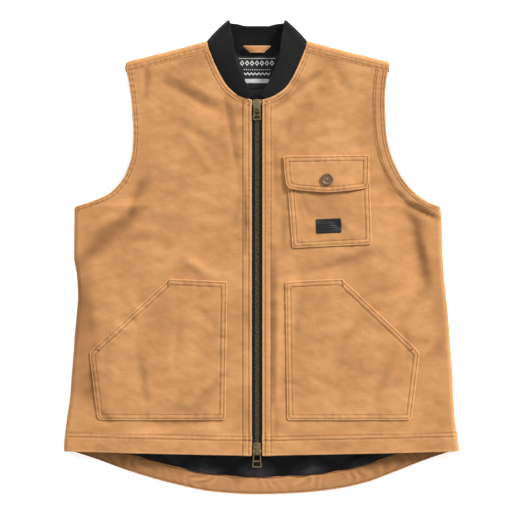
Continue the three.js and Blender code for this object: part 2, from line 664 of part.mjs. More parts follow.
// Neck label and hanger loop, on the back lining.
const labelTop = BACK_NECK * BODY_LENGTH - LABEL_DROP;
const labelOuter = (i, j) => liningInner(backLining)(i, j) - SEAM_GAP;
const labelInner = (i, j) => labelOuter(i, j) - LABEL_THICK;
const labelLayer = wall(backLining, labelOuter, labelInner, keepLining);
const labelPoints = rectangle(new THREE.Vector2(0, labelTop - LABEL_HEIGHT / 2), LABEL_WIDTH, LABEL_HEIGHT);
add("neck_label", cutFrom(labelLayer, labelPoints), BLACK_PATCH);

function hangerLoop() {
  const base = -LINING_OUTER + LINING + QUILT_PUFF + SEAM_GAP;
  const rows = [0, 1].map((across) =>
    [-0.5, -0.36, -0.15, 0.15, 0.36, 0.5].map((share) => {
      const narrow = across ? 1 : LOOP_NARROW;
      const x = share * LOOP_LENGTH * narrow;
      const arch = LOOP_ARCH * (1 - (2 * share) ** 2);
      const y = BACK_NECK * BODY_LENGTH + LOOP_TUCK - LOOP_WIDTH * (1 - across);
      return { p: new THREE.Vector3(x, y, base + arch), n: new THREE.Vector3(0, 0, 1) };
    }),
  );
  return wall(rows, constant(LOOP_THICK), constant(0));
}
add("hanger_loop", hangerLoop(), DUCK_CANVAS);

// Ribbed collar. Each station runs from the neck seam to the free edge; the table gives the free edge,
// half width and height in the outline's shares, and how far it stands, as a share of COLLAR_STAND.
const COLLAR_FRONT = [
  { seam: 0.834, half: 0.03, y: 0.842, stand: 0.36 },
  { seam: 0.843, half: 0.045, y: 0.855, stand: 0.55 },
  { seam: 0.858, half: 0.075, y: 0.876, stand: 0.73 },
  { seam: 0.88, half: 0.108, y: 0.904, stand: 0.91 },
  { seam: 0.908, half: 0.127, y: 0.934, stand: 1 },
  { seam: 0.928, half: 0.137, y: 0.962, stand: 0.82 },
  { seam: 0.945, half: 0.149, y: 0.985, stand: 0.45 },
];
const COLLAR_PEAK = 0.157; // half width of the collar's highest corners
const COLLAR_CENTRE = 0.988; // height of its edge at the centre back
const COLLAR_STEPS = 3;

function collarStations() {
  const half = [];
  const step = 2;
  for (const row of COLLAR_FRONT) {
    const y = row.seam * BODY_LENGTH;
    const slope = (neckHalf(y + step) - neckHalf(y - step)) / (2 * step);
    const away = new THREE.Vector2(-1, slope).setLength(COLLAR_GAP);
    const z = topHeight(neckHalf(y), y) - CANVAS / 2;
    const seam = new THREE.Vector3(neckHalf(y) + away.x, y + away.y, z);
    const edge = new THREE.Vector3(row.half * CHEST_HALF, row.y * BODY_LENGTH, z + row.stand * COLLAR_STAND);
    half.push({ seam, edge });
  }
  // Round the shoulder fold, from the top layer down to the back's.
  const corner = neckHalf(BODY_LENGTH * OUTLINE[FOLD_ROW].inner);
  const fold = foldFlat(RIGHT, corner);
  const inside = FOLD_RADIUS - COLLAR_RISE;
  for (const share of [1, 0.75, 0.5, 0.25, 0]) {
    const angle = share * Math.PI;
    const y = fold + inside * Math.sin(angle);
    const z = FOLD_RADIUS - inside * Math.cos(angle);
    const seam = new THREE.Vector3(neckHalf(y) - SEAM_GAP, y + SEAM_GAP, z);
    const peak = BODY_LENGTH - COLLAR_FOLD_RADIUS;
    const edge = new THREE.Vector3(
      COLLAR_PEAK * CHEST_HALF - COLLAR_PINCH * Math.abs(Math.cos(angle)),
      peak + COLLAR_FOLD_RADIUS * Math.sin(angle),
      2 * FOLD_RADIUS - COLLAR_FOLD_RADIUS * Math.cos(angle),
    );
    half.push({ seam, edge });
  }
  for (const share of [0.7, 0.35]) {
    const x = share * corner;
    const seam = new THREE.Vector3(x, backTop(RIGHT, x) + COLLAR_GAP, COLLAR_RISE);
    const y = (COLLAR_CENTRE + (1 - COLLAR_CENTRE) * share ** 2) * BODY_LENGTH - COLLAR_DIP;
    const edge = new THREE.Vector3(share * COLLAR_PEAK * CHEST_HALF, y, COLLAR_LEAN);
    half.push({ seam, edge });
  }
  const seam = new THREE.Vector3(0, BACK_NECK * BODY_LENGTH + COLLAR_GAP, COLLAR_RISE);
  const middle = { seam, edge: new THREE.Vector3(0, COLLAR_CENTRE * BODY_LENGTH, COLLAR_LEAN) };
  const mirror = ({ seam: s, edge: e }) => ({
    seam: new THREE.Vector3(-s.x, s.y, s.z),
    edge: new THREE.Vector3(-e.x, e.y, e.z),
  });
  return [...half.map(mirror), middle, ...half.reverse()];
}

function collar() {
  const stations = collarStations();
  const surface = stations.map(({ seam, edge }, i) => {
    const before = stations[Math.max(0, i - 1)];
    const after = stations[Math.min(stations.length - 1, i + 1)];
    const row = [];
    for (let k = 0; k <= COLLAR_STEPS; k += 1) {
      const share = k / COLLAR_STEPS;
      const p = seam.clone().lerp(edge, share);
      const ahead = after.seam.clone().lerp(after.edge, share);
      const tangent = ahead.sub(before.seam.clone().lerp(before.edge, share));
      const n = tangent.cross(edge.clone().sub(seam)).normalize();
      row.push({ p, n });
    }
    return row;
  });
  return wall(surface, constant(RIB / 2), constant(-RIB / 2));
}
add("rib_collar", collar(), RIB_KNIT);

// Zip: two tapes under the canvas edges and the chain of teeth between them.
const TAPE_OUTER = -(CANVAS + SEAM_GAP);
const zipRows = (side) => fronts[side].slice(HEM_ROW, NECK_ROW + 1);
for (const side of [LEFT, RIGHT]) {
  const wearer = side < 0 ? "right" : "left";
  const surface = zipRows(side).map((row) => {
    const [edge, next] = row;
    const inner = { p: edge.p.clone().setX(side * (CHAIN_WIDTH / 2 + SEAM_GAP)), n: edge.n };
    const sewn = {
      p: edge.p.clone().lerp(next.p, TAPE_SEWN),
      n: edge.n.clone().lerp(next.n, TAPE_SEWN).normalize(),
    };
    return [inner, edge, sewn];
  });
  add(`zip_tape_${wearer}`, wall(surface, constant(TAPE_OUTER), constant(TAPE_OUTER - TAPE)), ZIP_TAPE);
}

const zipHeight = (y) => topHeight(TAPE_SHOWN, y) + TAPE_OUTER - TAPE / 2;
const zipBottom = BODY_LENGTH * OUTLINE[HEM_ROW].inner;
const zipTop = BODY_LENGTH * OUTLINE[NECK_ROW].inner;
// Each slider's centre, the way its wide end faces, and its pull.
const SLIDERS = {
  top: { y: zipTop + SLIDER_PROUD - SLIDER_LENGTH / 2, way: 1, pullLength: 19.5, pullWidth: 12.8 },
  bottom: { y: zipBottom + SLIDER_CLEAR + SLIDER_LENGTH / 2, way: -1, pullLength: 25.5, pullWidth: 15 },
};

function chain() {
  const ends = [SLIDERS.bottom.y, SLIDERS.top.y];
  const between = OUTLINE.slice(BAND_ROW, NECK_ROW).map((row) => row.inner * BODY_LENGTH);
  const shape = [
    [-0.5, 0.3],
    [-0.5, -0.3],
    [0, -0.5],
    [0.5, -0.3],
    [0.5, 0.3],
    [0, 0.5],
  ];
  const rings = [ends[0], ...between, ends[1]].map((y) =>
    shape.map(([u, v]) => new THREE.Vector3(u * CHAIN_WIDTH, y, zipHeight(y) + v * CHAIN_HEIGHT)),
  );
  const geometry = new THREE.BufferGeometry();
  const size = shape.length;
  const faces = [];
  for (let i = 0; i < rings.length - 1; i += 1)
    for (let j = 0; j < size; j += 1) {
      const [a, b] = [i * size + j, i * size + ((j + 1) % size)];
      faces.push(a, b, b + size, a, b + size, a + size);
    }
  const last = (rings.length - 1) * size;
  for (let j = 1; j < size - 1; j += 1) {
    faces.push(0, j + 1, j);
    faces.push(last, last + j, last + j + 1);
  }
  const positions = rings.flat().flatMap((p) => p.toArray());
  geometry.setAttribute("position", new THREE.Float32BufferAttribute(positions, 3));
  geometry.setIndex(faces);
  return facingOut(geometry);
}
add("zip_chain", chain(), OLD_BRASS);

// A slider: two plates that grip the chain, joined by the post at its wide end, and the lug for the pull.
function roundedPlate(width, length, height) {
  const [w, l] = [width / 2, length / 2];
  const shape = new THREE.Shape(
    [
      [-0.72 * w, -l],
      [0.72 * w, -l],
      [0.8 * w, 0],
      [w, 0.45 * l],
      [0.8 * w, 0.9 * l],
      [0.3 * w, l],
      [-0.3 * w, l],
      [-0.8 * w, 0.9 * l],
      [-w, 0.45 * l],
      [-0.8 * w, 0],
    ].map(([x, y]) => new THREE.Vector2(x, y)),
  );
  return new THREE.ExtrudeGeometry(shape, { depth: height, bevelEnabled: false });
}
function boxAt(width, length, height, x, y, z) {
  const box = new THREE.BoxGeometry(width, length, height);
  box.translate(x, y, z);
  return box;
}
const PLATE_GAP = CHAIN_HEIGHT / 2 + SEAM_GAP;
const FLANGE_SLOT = TAPE + 4 * SEAM_GAP; // leaves the tape free between the flanges
function slider() {
  const upper = roundedPlate(SLIDER_WIDTH, SLIDER_LENGTH, SLIDER_PLATE);
  upper.translate(0, 0, PLATE_GAP);
  const lower = roundedPlate(SLIDER_WIDTH, SLIDER_LENGTH, SLIDER_PLATE);
  lower.translate(0, 0, -PLATE_GAP - SLIDER_PLATE);
  const postY = SLIDER_LENGTH / 2 - POST_LENGTH / 2 - POST_INSET;
  const post = boxAt(LUG_WIDTH, POST_LENGTH, 2 * PLATE_GAP + SLIDER_PLATE, 0, postY, 0);
  let solid = toSolid(upper).add(toSolid(lower)).add(toSolid(post));
  const flangeHeight = PLATE_GAP - FLANGE_SLOT / 2 + SLIDER_PLATE / 2;
  for (const side of [LEFT, RIGHT])
    for (const way of [-1, 1]) {
      const x = side * (CHAIN_WIDTH / 2 + SEAM_GAP + LUG_WALL / 2);
      const z = way * (FLANGE_SLOT / 2 + flangeHeight / 2);
      const flange = boxAt(LUG_WALL, SLIDER_LENGTH * 0.6, flangeHeight, x, -SLIDER_LENGTH * 0.15, z);
      solid = solid.add(toSolid(flange));
    }
  return toGeometry(solid.add(toSolid(lug())));
}

// The lug is an arch over the middle of the upper plate; the pull's eye passes under it.
const lugBase = PLATE_GAP + SLIDER_PLATE;
function lug() {
  const [l, h] = [LUG_LENGTH / 2, LUG_HEIGHT];
  const shape = new THREE.Shape(
    [
      [-l, -SLIDER_PLATE / 2],
      [l, -SLIDER_PLATE / 2],
      [l, h * 0.6],
      [l - LUG_WALL, h],
      [-l + LUG_WALL, h],
      [-l, h * 0.6],
    ].map(([x, y]) => new THREE.Vector2(x, y)),
  );
  shape.holes.push(
    new THREE.Path(
      [
        [-l + LUG_WALL, LUG_FOOT],
        [-l + LUG_WALL, h * 0.5],
        [-l + 2 * LUG_WALL, h - LUG_WALL],
        [l - 2 * LUG_WALL, h - LUG_WALL],
        [l - LUG_WALL, h * 0.5],
        [l - LUG_WALL, LUG_FOOT],
      ].map(([x, y]) => new THREE.Vector2(x, y)),
    ),
  );
  const arch = new THREE.ExtrudeGeometry(shape, { depth: LUG_WIDTH, bevelEnabled: false });
  arch.translate(0, 0, -LUG_WIDTH / 2);
  arch.rotateY(QUARTER);
  arch.rotateX(QUARTER);
  arch.translate(0, 0, lugBase);
  return arch;
}

// The pull: a wire frame with a cross bar, flat, its eye at the origin and its free end towards -Y.
function pull(length, width) {
  const [w, l] = [width / 2, length];
  const outline = [
    [-PULL_TAPER * w, EYE_BAR / 2],
    [-w, -l + PULL_WIRE],
    [-w + PULL_WIRE / 2, -l],
    [w - PULL_WIRE / 2, -l],
    [w, -l + PULL_WIRE],
    [PULL_TAPER * w, EYE_BAR / 2],
  ].map(([x, y]) => new THREE.Vector2(x, y));
  const inner = (y) => (PULL_TAPER - ((1 - PULL_TAPER) * y) / l) * w - PULL_WIRE * 0.8;
  const crossBar = -0.6 * l;
  const frame = (points, depth) => {
    const prism = new THREE.ExtrudeGeometry(new THREE.Shape(points), { depth, bevelEnabled: false });
    prism.translate(0, 0, -depth / 2);
    return toSolid(prism);
  };
  const windowBetween = (top, bottom) => {
    const corners = [
      [-inner(top), top],
      [-inner(bottom), bottom],
      [inner(bottom), bottom],
      [inner(top), top],
    ];
    return frame(corners.map(([x, y]) => new THREE.Vector2(x, y)), 2 * PULL_THICK);
  };
  const upper = windowBetween(-EYE_BAR / 2, crossBar + PULL_WIRE / 2);
  const lower = windowBetween(crossBar - PULL_WIRE / 2, -l + PULL_WIRE);
  return toGeometry(frame(outline, PULL_THICK).subtract(upper).subtract(lower));
}
const EYE_HEIGHT = lugBase + LUG_HEIGHT - LUG_WALL - PULL_THICK / 2 - SEAM_GAP;
for (const [name, { y, way, pullLength, pullWidth }] of Object.entries(SLIDERS)) {
  const slope = (zipHeight(y + SLIDER_LENGTH / 2) - zipHeight(y - SLIDER_LENGTH / 2)) / SLIDER_LENGTH;
  const mount = new THREE.Group();
  mount.position.set(0, y, zipHeight(y));
  mount.rotation.x = Math.atan(slope);
  vest.add(mount);
  const body = add(`zip_slider_${name}`, slider(), OLD_BRASS);
  if (way < 0) body.rotation.z = Math.PI;
  const tag = add(`zip_pull_${name}`, pull(pullLength, pullWidth), OLD_BRASS);
  tag.position.set(0, 2 * LUG_WALL + (EYE_BAR - LUG_LENGTH) / 2, EYE_HEIGHT);
  tag.rotation.x = PULL_LEAN;
  mount.add(body, tag);
}

// The origin is on the table, under the middle of the whole vest.
const bounds = new THREE.Box3().setFromObject(vest);
const middle = bounds.getCenter(new THREE.Vector3());
vest.position.set(-middle.x, -middle.y, -bounds.min.z);

export default vest;
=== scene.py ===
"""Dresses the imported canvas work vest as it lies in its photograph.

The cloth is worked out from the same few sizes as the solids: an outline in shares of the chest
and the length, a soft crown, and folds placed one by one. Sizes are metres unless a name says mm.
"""

from __future__ import annotations

import sys

import logging
import math
from collections.abc import Callable, Iterable, Sequence
from dataclasses import dataclass, field
from enum import Enum

import bmesh
import bpy
import numpy as np
from bpy.types import Material, Mesh
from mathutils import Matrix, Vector
from mathutils.geometry import delaunay_2d_cdt


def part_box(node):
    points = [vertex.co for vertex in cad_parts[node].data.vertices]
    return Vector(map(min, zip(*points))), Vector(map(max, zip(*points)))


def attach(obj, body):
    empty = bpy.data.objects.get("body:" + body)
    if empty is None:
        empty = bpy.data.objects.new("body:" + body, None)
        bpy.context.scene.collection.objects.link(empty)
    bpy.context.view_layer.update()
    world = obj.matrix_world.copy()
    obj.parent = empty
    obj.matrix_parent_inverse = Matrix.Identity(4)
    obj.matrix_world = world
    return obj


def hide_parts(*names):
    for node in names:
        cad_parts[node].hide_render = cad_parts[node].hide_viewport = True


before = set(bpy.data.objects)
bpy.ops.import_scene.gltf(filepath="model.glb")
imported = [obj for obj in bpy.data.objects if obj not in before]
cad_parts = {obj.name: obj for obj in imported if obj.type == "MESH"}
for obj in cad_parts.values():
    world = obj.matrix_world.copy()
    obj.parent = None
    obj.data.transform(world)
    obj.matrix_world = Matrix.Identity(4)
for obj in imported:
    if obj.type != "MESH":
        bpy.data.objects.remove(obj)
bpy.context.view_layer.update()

log = logging.getLogger("vest")
MM = 0.001
BODY = "garment"
Array = np.ndarray


class Side(Enum):
    """A half of the vest, named as the wearer does; the value is the way it lies along X."""

    RIGHT = -1
    LEFT = 1

    @property
    def word(self) -> str:
        """The side as the CAD nodes' names have it."""
        return self.name.lower()


# Cloth shapes


@dataclass(frozen=True)
class Section:
    """One height of the outline, in shares of the chest's half width and the body's length.

    inner is where the same row meets the zip or the neck, and curl is 1 where the cloth turns
    round the side and 0 at a free edge.
    """

    y: float
    right: float
    left: float
    inner: float
    curl: float


OUTLINE = (
    Section(0.093, 1.053, 1.103, 0.085, 1),
    Section(0.123, 1.05, 1.094, 0.123, 1),
    Section(0.165, 1.037, 1.08, 0.165, 1),
    Section(0.208, 1.021, 1.072, 0.208, 1),
    Section(0.25, 1.013, 1.069, 0.25, 1),
    Section(0.292, 1.004, 1.06, 0.292, 1),
    Section(0.335, 0.996, 1.052, 0.335, 1),
    Section(0.378, 0.986, 1.044, 0.378, 1),
    Section(0.42, 0.978, 1.033, 0.42, 1),
    Section(0.463, 0.984, 1.022, 0.463, 1),
    Section(0.505, 1.0, 1.014, 0.505, 1),
    Section(0.548, 0.999, 1.012, 0.548, 1),
    Section(0.607, 0.995, 1.0, 0.592, 1),
    Section(0.618, 0.913, 0.935, 0.617, 0.5),
    Section(0.637, 0.802, 0.862, 0.642, 0.2),
    Section(0.66, 0.742, 0.806, 0.667, 0),
    Section(0.685, 0.705, 0.766, 0.692, 0),
    Section(0.72, 0.679, 0.727, 0.727, 0),
    Section(0.764, 0.672, 0.704, 0.777, 0),
    Section(0.807, 0.677, 0.697, 0.832, 0),
    Section(0.828, 0.682, 0.696, 0.842, 0),
    Section(0.845, 0.687, 0.697, 0.858, 0),
    Section(0.862, 0.694, 0.701, 0.88, 0),
    Section(0.878, 0.7, 0.705, 0.908, 0),
    Section(0.894, 0.708, 0.712, 0.937, 0),
    Section(0.915, 0.717, 0.724, 0.959, 0),
)
HEM_ROW, BAND_ROW, ARMHOLE_ROW, NECK_ROW, SEAM_ROW, FOLD_ROW = 0, 1, 12, 19, 24, 25

# Height and half width of the front neck, then the tail's edge: share of the half width and height.
NECK = (
    (0.832, 0.031), (0.836, 0.067), (0.842, 0.101), (0.858, 0.156),
    (0.88, 0.195), (0.908, 0.23), (0.937, 0.259), (0.959, 0.276),
)
TAIL = (
    (-1, 0.093), (-0.86, 0.075), (-0.68, 0.049), (-0.46, 0.024), (-0.22, 0.005), (0, 0),
    (0.21, 0.003), (0.41, 0.012), (0.56, 0.026), (0.71, 0.049), (0.87, 0.075), (1, 0.093),
)


@dataclass(frozen=True)
class Fold:
    """A fold of the front: the line it follows, its reach and its height, below 0 for a valley."""

    start: tuple[float, float]
    end: tuple[float, float]
    reach: float
    height: float


def drawn(*rows: tuple[float, ...]) -> tuple[Fold, ...]:
    """Folds from rows of their ends' x and y, their reach and their height."""
    return tuple(Fold(row[0:2], row[2:4], row[4], row[5]) for row in rows)


# Broad folds, which the solids have too: ends in the outline's shares, reach as a share of the
# half width, height as a share of the crown's.
FOLDS = drawn(
    (-0.6, 0.91, -0.61, 0.84, 0.06, -0.3), (-0.48, 0.87, -0.2, 0.81, 0.07, -0.35),
    (-0.66, 0.6, -0.95, 0.49, 0.1, -0.5), (-0.86, 0.57, -0.93, 0.54, 0.07, 0.3),
    (-0.62, 0.66, -0.72, 0.53, 0.08, -0.35), (-0.56, 0.45, -0.41, 0.51, 0.08, 0.25),
    (-0.41, 0.51, -0.25, 0.46, 0.08, 0.25), (-0.92, 0.42, -0.9, 0.32, 0.1, -0.4),
    (-0.6, 0.16, -0.22, 0.16, 0.06, -0.3), (0.13, 0.47, 0.1, 0.16, 0.06, 0.3),
    (0.08, 0.8, 0.2, 0.86, 0.06, -0.35), (0.17, 0.77, 0.35, 0.85, 0.07, -0.3),
    (0.83, 0.59, 0.92, 0.45, 0.1, -0.5), (0.92, 0.45, 0.78, 0.35, 0.09, -0.35),
    (0.25, 0.47, 0.66, 0.5, 0.07, -0.35), (0.72, 0.29, 0.62, 0.19, 0.07, -0.3),
    (0.56, 0.37, 0.42, 0.3, 0.07, -0.25),
)

# Fine creases, in millimetres from the zip and the tail.
CREASES = drawn(
    (-176, 689, -179, 634, 7, -2.1), (-186, 690, -190, 640, 7, 1.3), (-146, 663, -59, 614, 9, -2.5),
    (-130, 668, -60, 634, 9, 1.3), (-50, 634, -37, 569, 6, -2.1), (-37, 569, -32, 519, 6, -1.7),
    (-20, 505, -20, 388, 4, -2.4), (-181, 503, -206, 458, 9, -2.5), (-197, 454, -282, 374, 12, -3.8),
    (-190, 470, -262, 425, 9, 2.3), (-215, 405, -160, 411, 8, -1.9), (-277, 319, -267, 254, 9, -2.8),
    (-192, 225, -179, 154, 8, -2.1), (-126, 270, -131, 218, 8, -1.7), (-51, 194, -107, 129, 8, -2.5),
    (-62, 200, -118, 142, 9, 1.5), (-181, 111, -61, 116, 6, -1.9), (-256, 138, -232, 110, 7, -2.1),
    (-166, 345, -122, 385, 8, 2.3), (-122, 385, -72, 350, 8, 2.1), (24, 618, 59, 649, 6, -2.5),
    (59, 649, 104, 679, 7, -2.3), (48, 583, 104, 644, 8, -2.1), (40, 610, 84, 656, 7, 1.5),
    (53, 604, 43, 569, 5, -2.1), (24, 578, 30, 470, 6, -1.7), (42, 470, 38, 390, 6, -2.1),
    (23, 390, 23, 143, 4, -2.1), (34, 354, 31, 143, 6, 2.1), (69, 324, 53, 218, 8, -1.7),
    (163, 279, 123, 230, 8, -2.1), (213, 218, 184, 145, 8, -2.1), (243, 449, 269, 338, 11, -3.4),
    (258, 442, 282, 350, 9, 2.1), (269, 334, 224, 270, 9, -2.8), (234, 265, 243, 218, 7, -2.1),
    (262, 452, 290, 446, 5, -2.5), (262, 444, 286, 434, 5, 1.7), (69, 354, 194, 385, 9, -2.3),
    (80, 366, 190, 398, 9, 1.5), (303, 254, 264, 204, 9, -2.5), (31, 134, 21, 79, 6, -1.9),
    (-244, 350, -236, 150, 30, 3.4), (-262, 250, -270, 130, 10, -2.0), (-236, 300, -246, 180, 8, -1.5),
    (-110, 560, -170, 500, 12, 1.8), (-150, 470, -110, 500, 10, -1.5), (110, 470, 150, 400, 10, -1.2),
    (60, 690, 110, 600, 12, 1.2), (196, 560, 214, 470, 8, -1.5), (120, 690, 150, 640, 9, -1.3),
    (237, 467, 286, 447, 6, -2.6), (246, 478, 290, 461, 6, 1.8), (232, 452, 262, 424, 7, -2.0),
    (62, 500, 84, 440, 6, -1.4), (120, 448, 160, 418, 7, 1.4), (-30, 470, -44, 420, 6, -1.4),
    (-95, 300, -60, 262, 7, -1.4), (-210, 330, -180, 268, 8, 1.4), (200, 330, 150, 300, 7, -1.5),
    (90, 190, 140, 160, 7, -1.3), (-150, 610, -60, 560, 8, -1.5), (-120, 585, -70, 520, 8, 1.3),
)

# Broad zones of painted shade, where the cloth is darker: the height is how dark, up to 1.
PAINTED_SHADE_ZONES = drawn(
    (-284, 330, -272, 170, 26, 0.55), (-258, 420, -284, 330, 22, 0.25), (-25, 510, -22, 390, 6, 0.35),
    (26, 400, 27, 160, 6, 0.3), (262, 440, 276, 360, 14, 0.3), (-300, 70, -230, 50, 14, 0.3),
    (-183, 505, -200, 455, 8, 0.35), (-200, 450, -285, 370, 11, 0.4), (240, 465, 286, 447, 3, 0.5),
    (252, 476, 290, 462, 2.5, 0.4), (-178, 640, -176, 689, 4, 0.3), (-146, 663, -70, 619, 5, 0.3),
    (24, 618, 100, 676, 5, 0.35), (-50, 634, -34, 540, 3, 0.35), (57, 500, 75, 440, 3, 0.3),
)


def smooth_through(at: Array, knots: Sequence[float], values: Sequence[float]) -> Array:
    """Reads a curve that passes through the knots and never overshoots them.

    Args:
        at: Where the curve is read.
        knots: The knots' places, rising.
        values: The curve's value at each knot.

    Returns:
        The values at at, held flat past both ends.
    """
    x, v = np.asarray(knots, float), np.asarray(values, float)
    step, slope = np.diff(x), np.diff(v) / np.diff(x)
    tangent = np.concatenate([slope[:1], np.zeros(len(x) - 2), slope[-1:]])
    same = slope[:-1] * slope[1:] > 0
    mean = 2 * slope[:-1] * slope[1:] / np.where(same, slope[:-1] + slope[1:], 1)
    tangent[1:-1] = np.where(same, mean, 0)
    at = np.clip(at, x[0], x[-1])
    i = np.clip(np.searchsorted(x, at, side="right") - 1, 0, len(step) - 1)
    t = (at - x[i]) / step[i]
    low = (1 + 2 * t) * (1 - t) ** 2 * v[i] + t * (1 - t) ** 2 * step[i] * tangent[i]
    high = t * t * (3 - 2 * t) * v[i + 1] + t * t * (t - 1) * step[i] * tangent[i + 1]
    return low + high


def ease(value: Array, low: float, high: float) -> Array:
    """A smooth step from 0 at low to 1 at high."""
    t = np.clip((value - low) / (high - low), 0, 1)
    return t * t * (3 - 2 * t)


def near_line(x: Array, y: Array, start: Sequence[float], end: Sequence[float]) -> tuple[Array, Array]:
    """Distance from points to a line between two points, and the share along it.

    Args:
        x: Distances from the zip.
        y: Distances from the tail.
        start: One end of the line.
        end: Its other end.

    Returns:
        The distance and the share along the line at each point.
    """
    along = (end[0] - start[0], end[1] - start[1])
    size = along[0] ** 2 + along[1] ** 2
    share = np.clip(((x - start[0]) * along[0] + (y - start[1]) * along[1]) / size, 0, 1)
    return np.hypot(x - start[0] - share * along[0], y - start[1] - share * along[1]), share


def near_path(x: Array, y: Array, path: Array) -> tuple[Array, Array]:
    """Distance from points to a drawn path, and the length along it at the nearest point.

    Args:
        x: Distances from the zip.
        y: Distances from the tail.
        path: Points of the path.

    Returns:
        The distance and the length along the path at each point.
    """
    best, at = np.full(np.shape(x), np.inf), np.zeros(np.shape(x))
    passed = 0.0
    for a, b in zip(path[:-1], path[1:]):
        distance, share = near_line(x, y, a, b)
        span = float(np.hypot(*(b - a)))
        closer = distance < best
        best = np.where(closer, distance, best)
        at = np.where(closer, passed + share * span, at)
        passed += span
    return best, at


@dataclass(frozen=True)
class Ripple:
    """Soft unevenness made of seeded waves of about one length.

    Args:
        length: The waves' usual length.
        height: Their usual height.
        seed: Fixes their directions and phases.
        stretch: How much longer the waves are along Y than across it.
    """

    length: float
    height: float
    seed: int
    stretch: float = 1.0
    waves: int = 14

    def at(self, x: Array, y: Array) -> Array:
        """The height of the unevenness at x, y.

        Args:
            x: Points' x.
            y: Points' y.

        Returns:
            The height at each point.
        """
        rng = np.random.default_rng(self.seed)
        total = np.zeros(np.shape(x))
        for _ in range(self.waves):
            angle, phase = rng.uniform(0, math.tau, 2)
            number = math.tau / (self.length * rng.uniform(0.7, 1.5))
            total += np.sin(number * (math.cos(angle) * x + math.sin(angle) * y / self.stretch) + phase)
        return self.height * total / math.sqrt(self.waves)


@dataclass(frozen=True)
class Band:
    """A turned and stitched edge: how far in it reaches, what it adds, and where its stitches run."""

    width: float
    height: float
    stitches: tuple[float, ...]
    pucker: float = 0.25 * MM
    groove: float = 0.5 * MM
    groove_reach: float = 1.2 * MM
    pucker_length: float = 9 * MM
    pucker_reach: float = 5 * MM

    def tone(self, distance: Array) -> Array:
        """How pale the cloth is: paler at the rim from wear, with painted shade in the stitch grooves and
        painted highlight on the ridges beside them.

        Args:
            distance: Distance in from the edge.

        Returns:
            Above 0 where it is paler, below 0 where it is darker.
        """
        # Wear pales the rim; each stitch line below gets painted shade in its groove and painted highlight on
        # the ridges beside it.
        tone = 0.5 * np.exp(-((distance / (2 * MM)) ** 2))
        for line in self.stitches:
            away = (distance - line) / (0.9 * MM)
            beside = (np.abs(distance - line) - 2.2 * MM) / (1.1 * MM)
            tone = tone - 0.55 * np.exp(-(away**2)) + 0.2 * np.exp(-(beside**2))
        return tone

    def relief(self, distance: Array, along: Array) -> Array:
        """What the edge adds to the cloth's height.

        Args:
            distance: Distance in from the edge.
            along: Length along the edge.

        Returns:
            The added height: the turned layer, less the grooves and puckers at the stitches.
        """
        height = self.height * (1 - ease(distance, self.width - 1.5 * MM, self.width + 1.5 * MM))
        wobble = np.sin(along * 47) + np.sin(along * 83 + 1)
        wave = np.sin(math.tau * along / self.pucker_length + 1.4 * wobble)
        for line in self.stitches:
            away = (distance - line) / self.groove_reach
            height = height - self.groove * np.exp(-(away**2))
            reach = (distance - line) / self.pucker_reach
            height = height + self.pucker * wave * np.exp(-(reach**2))
        return height


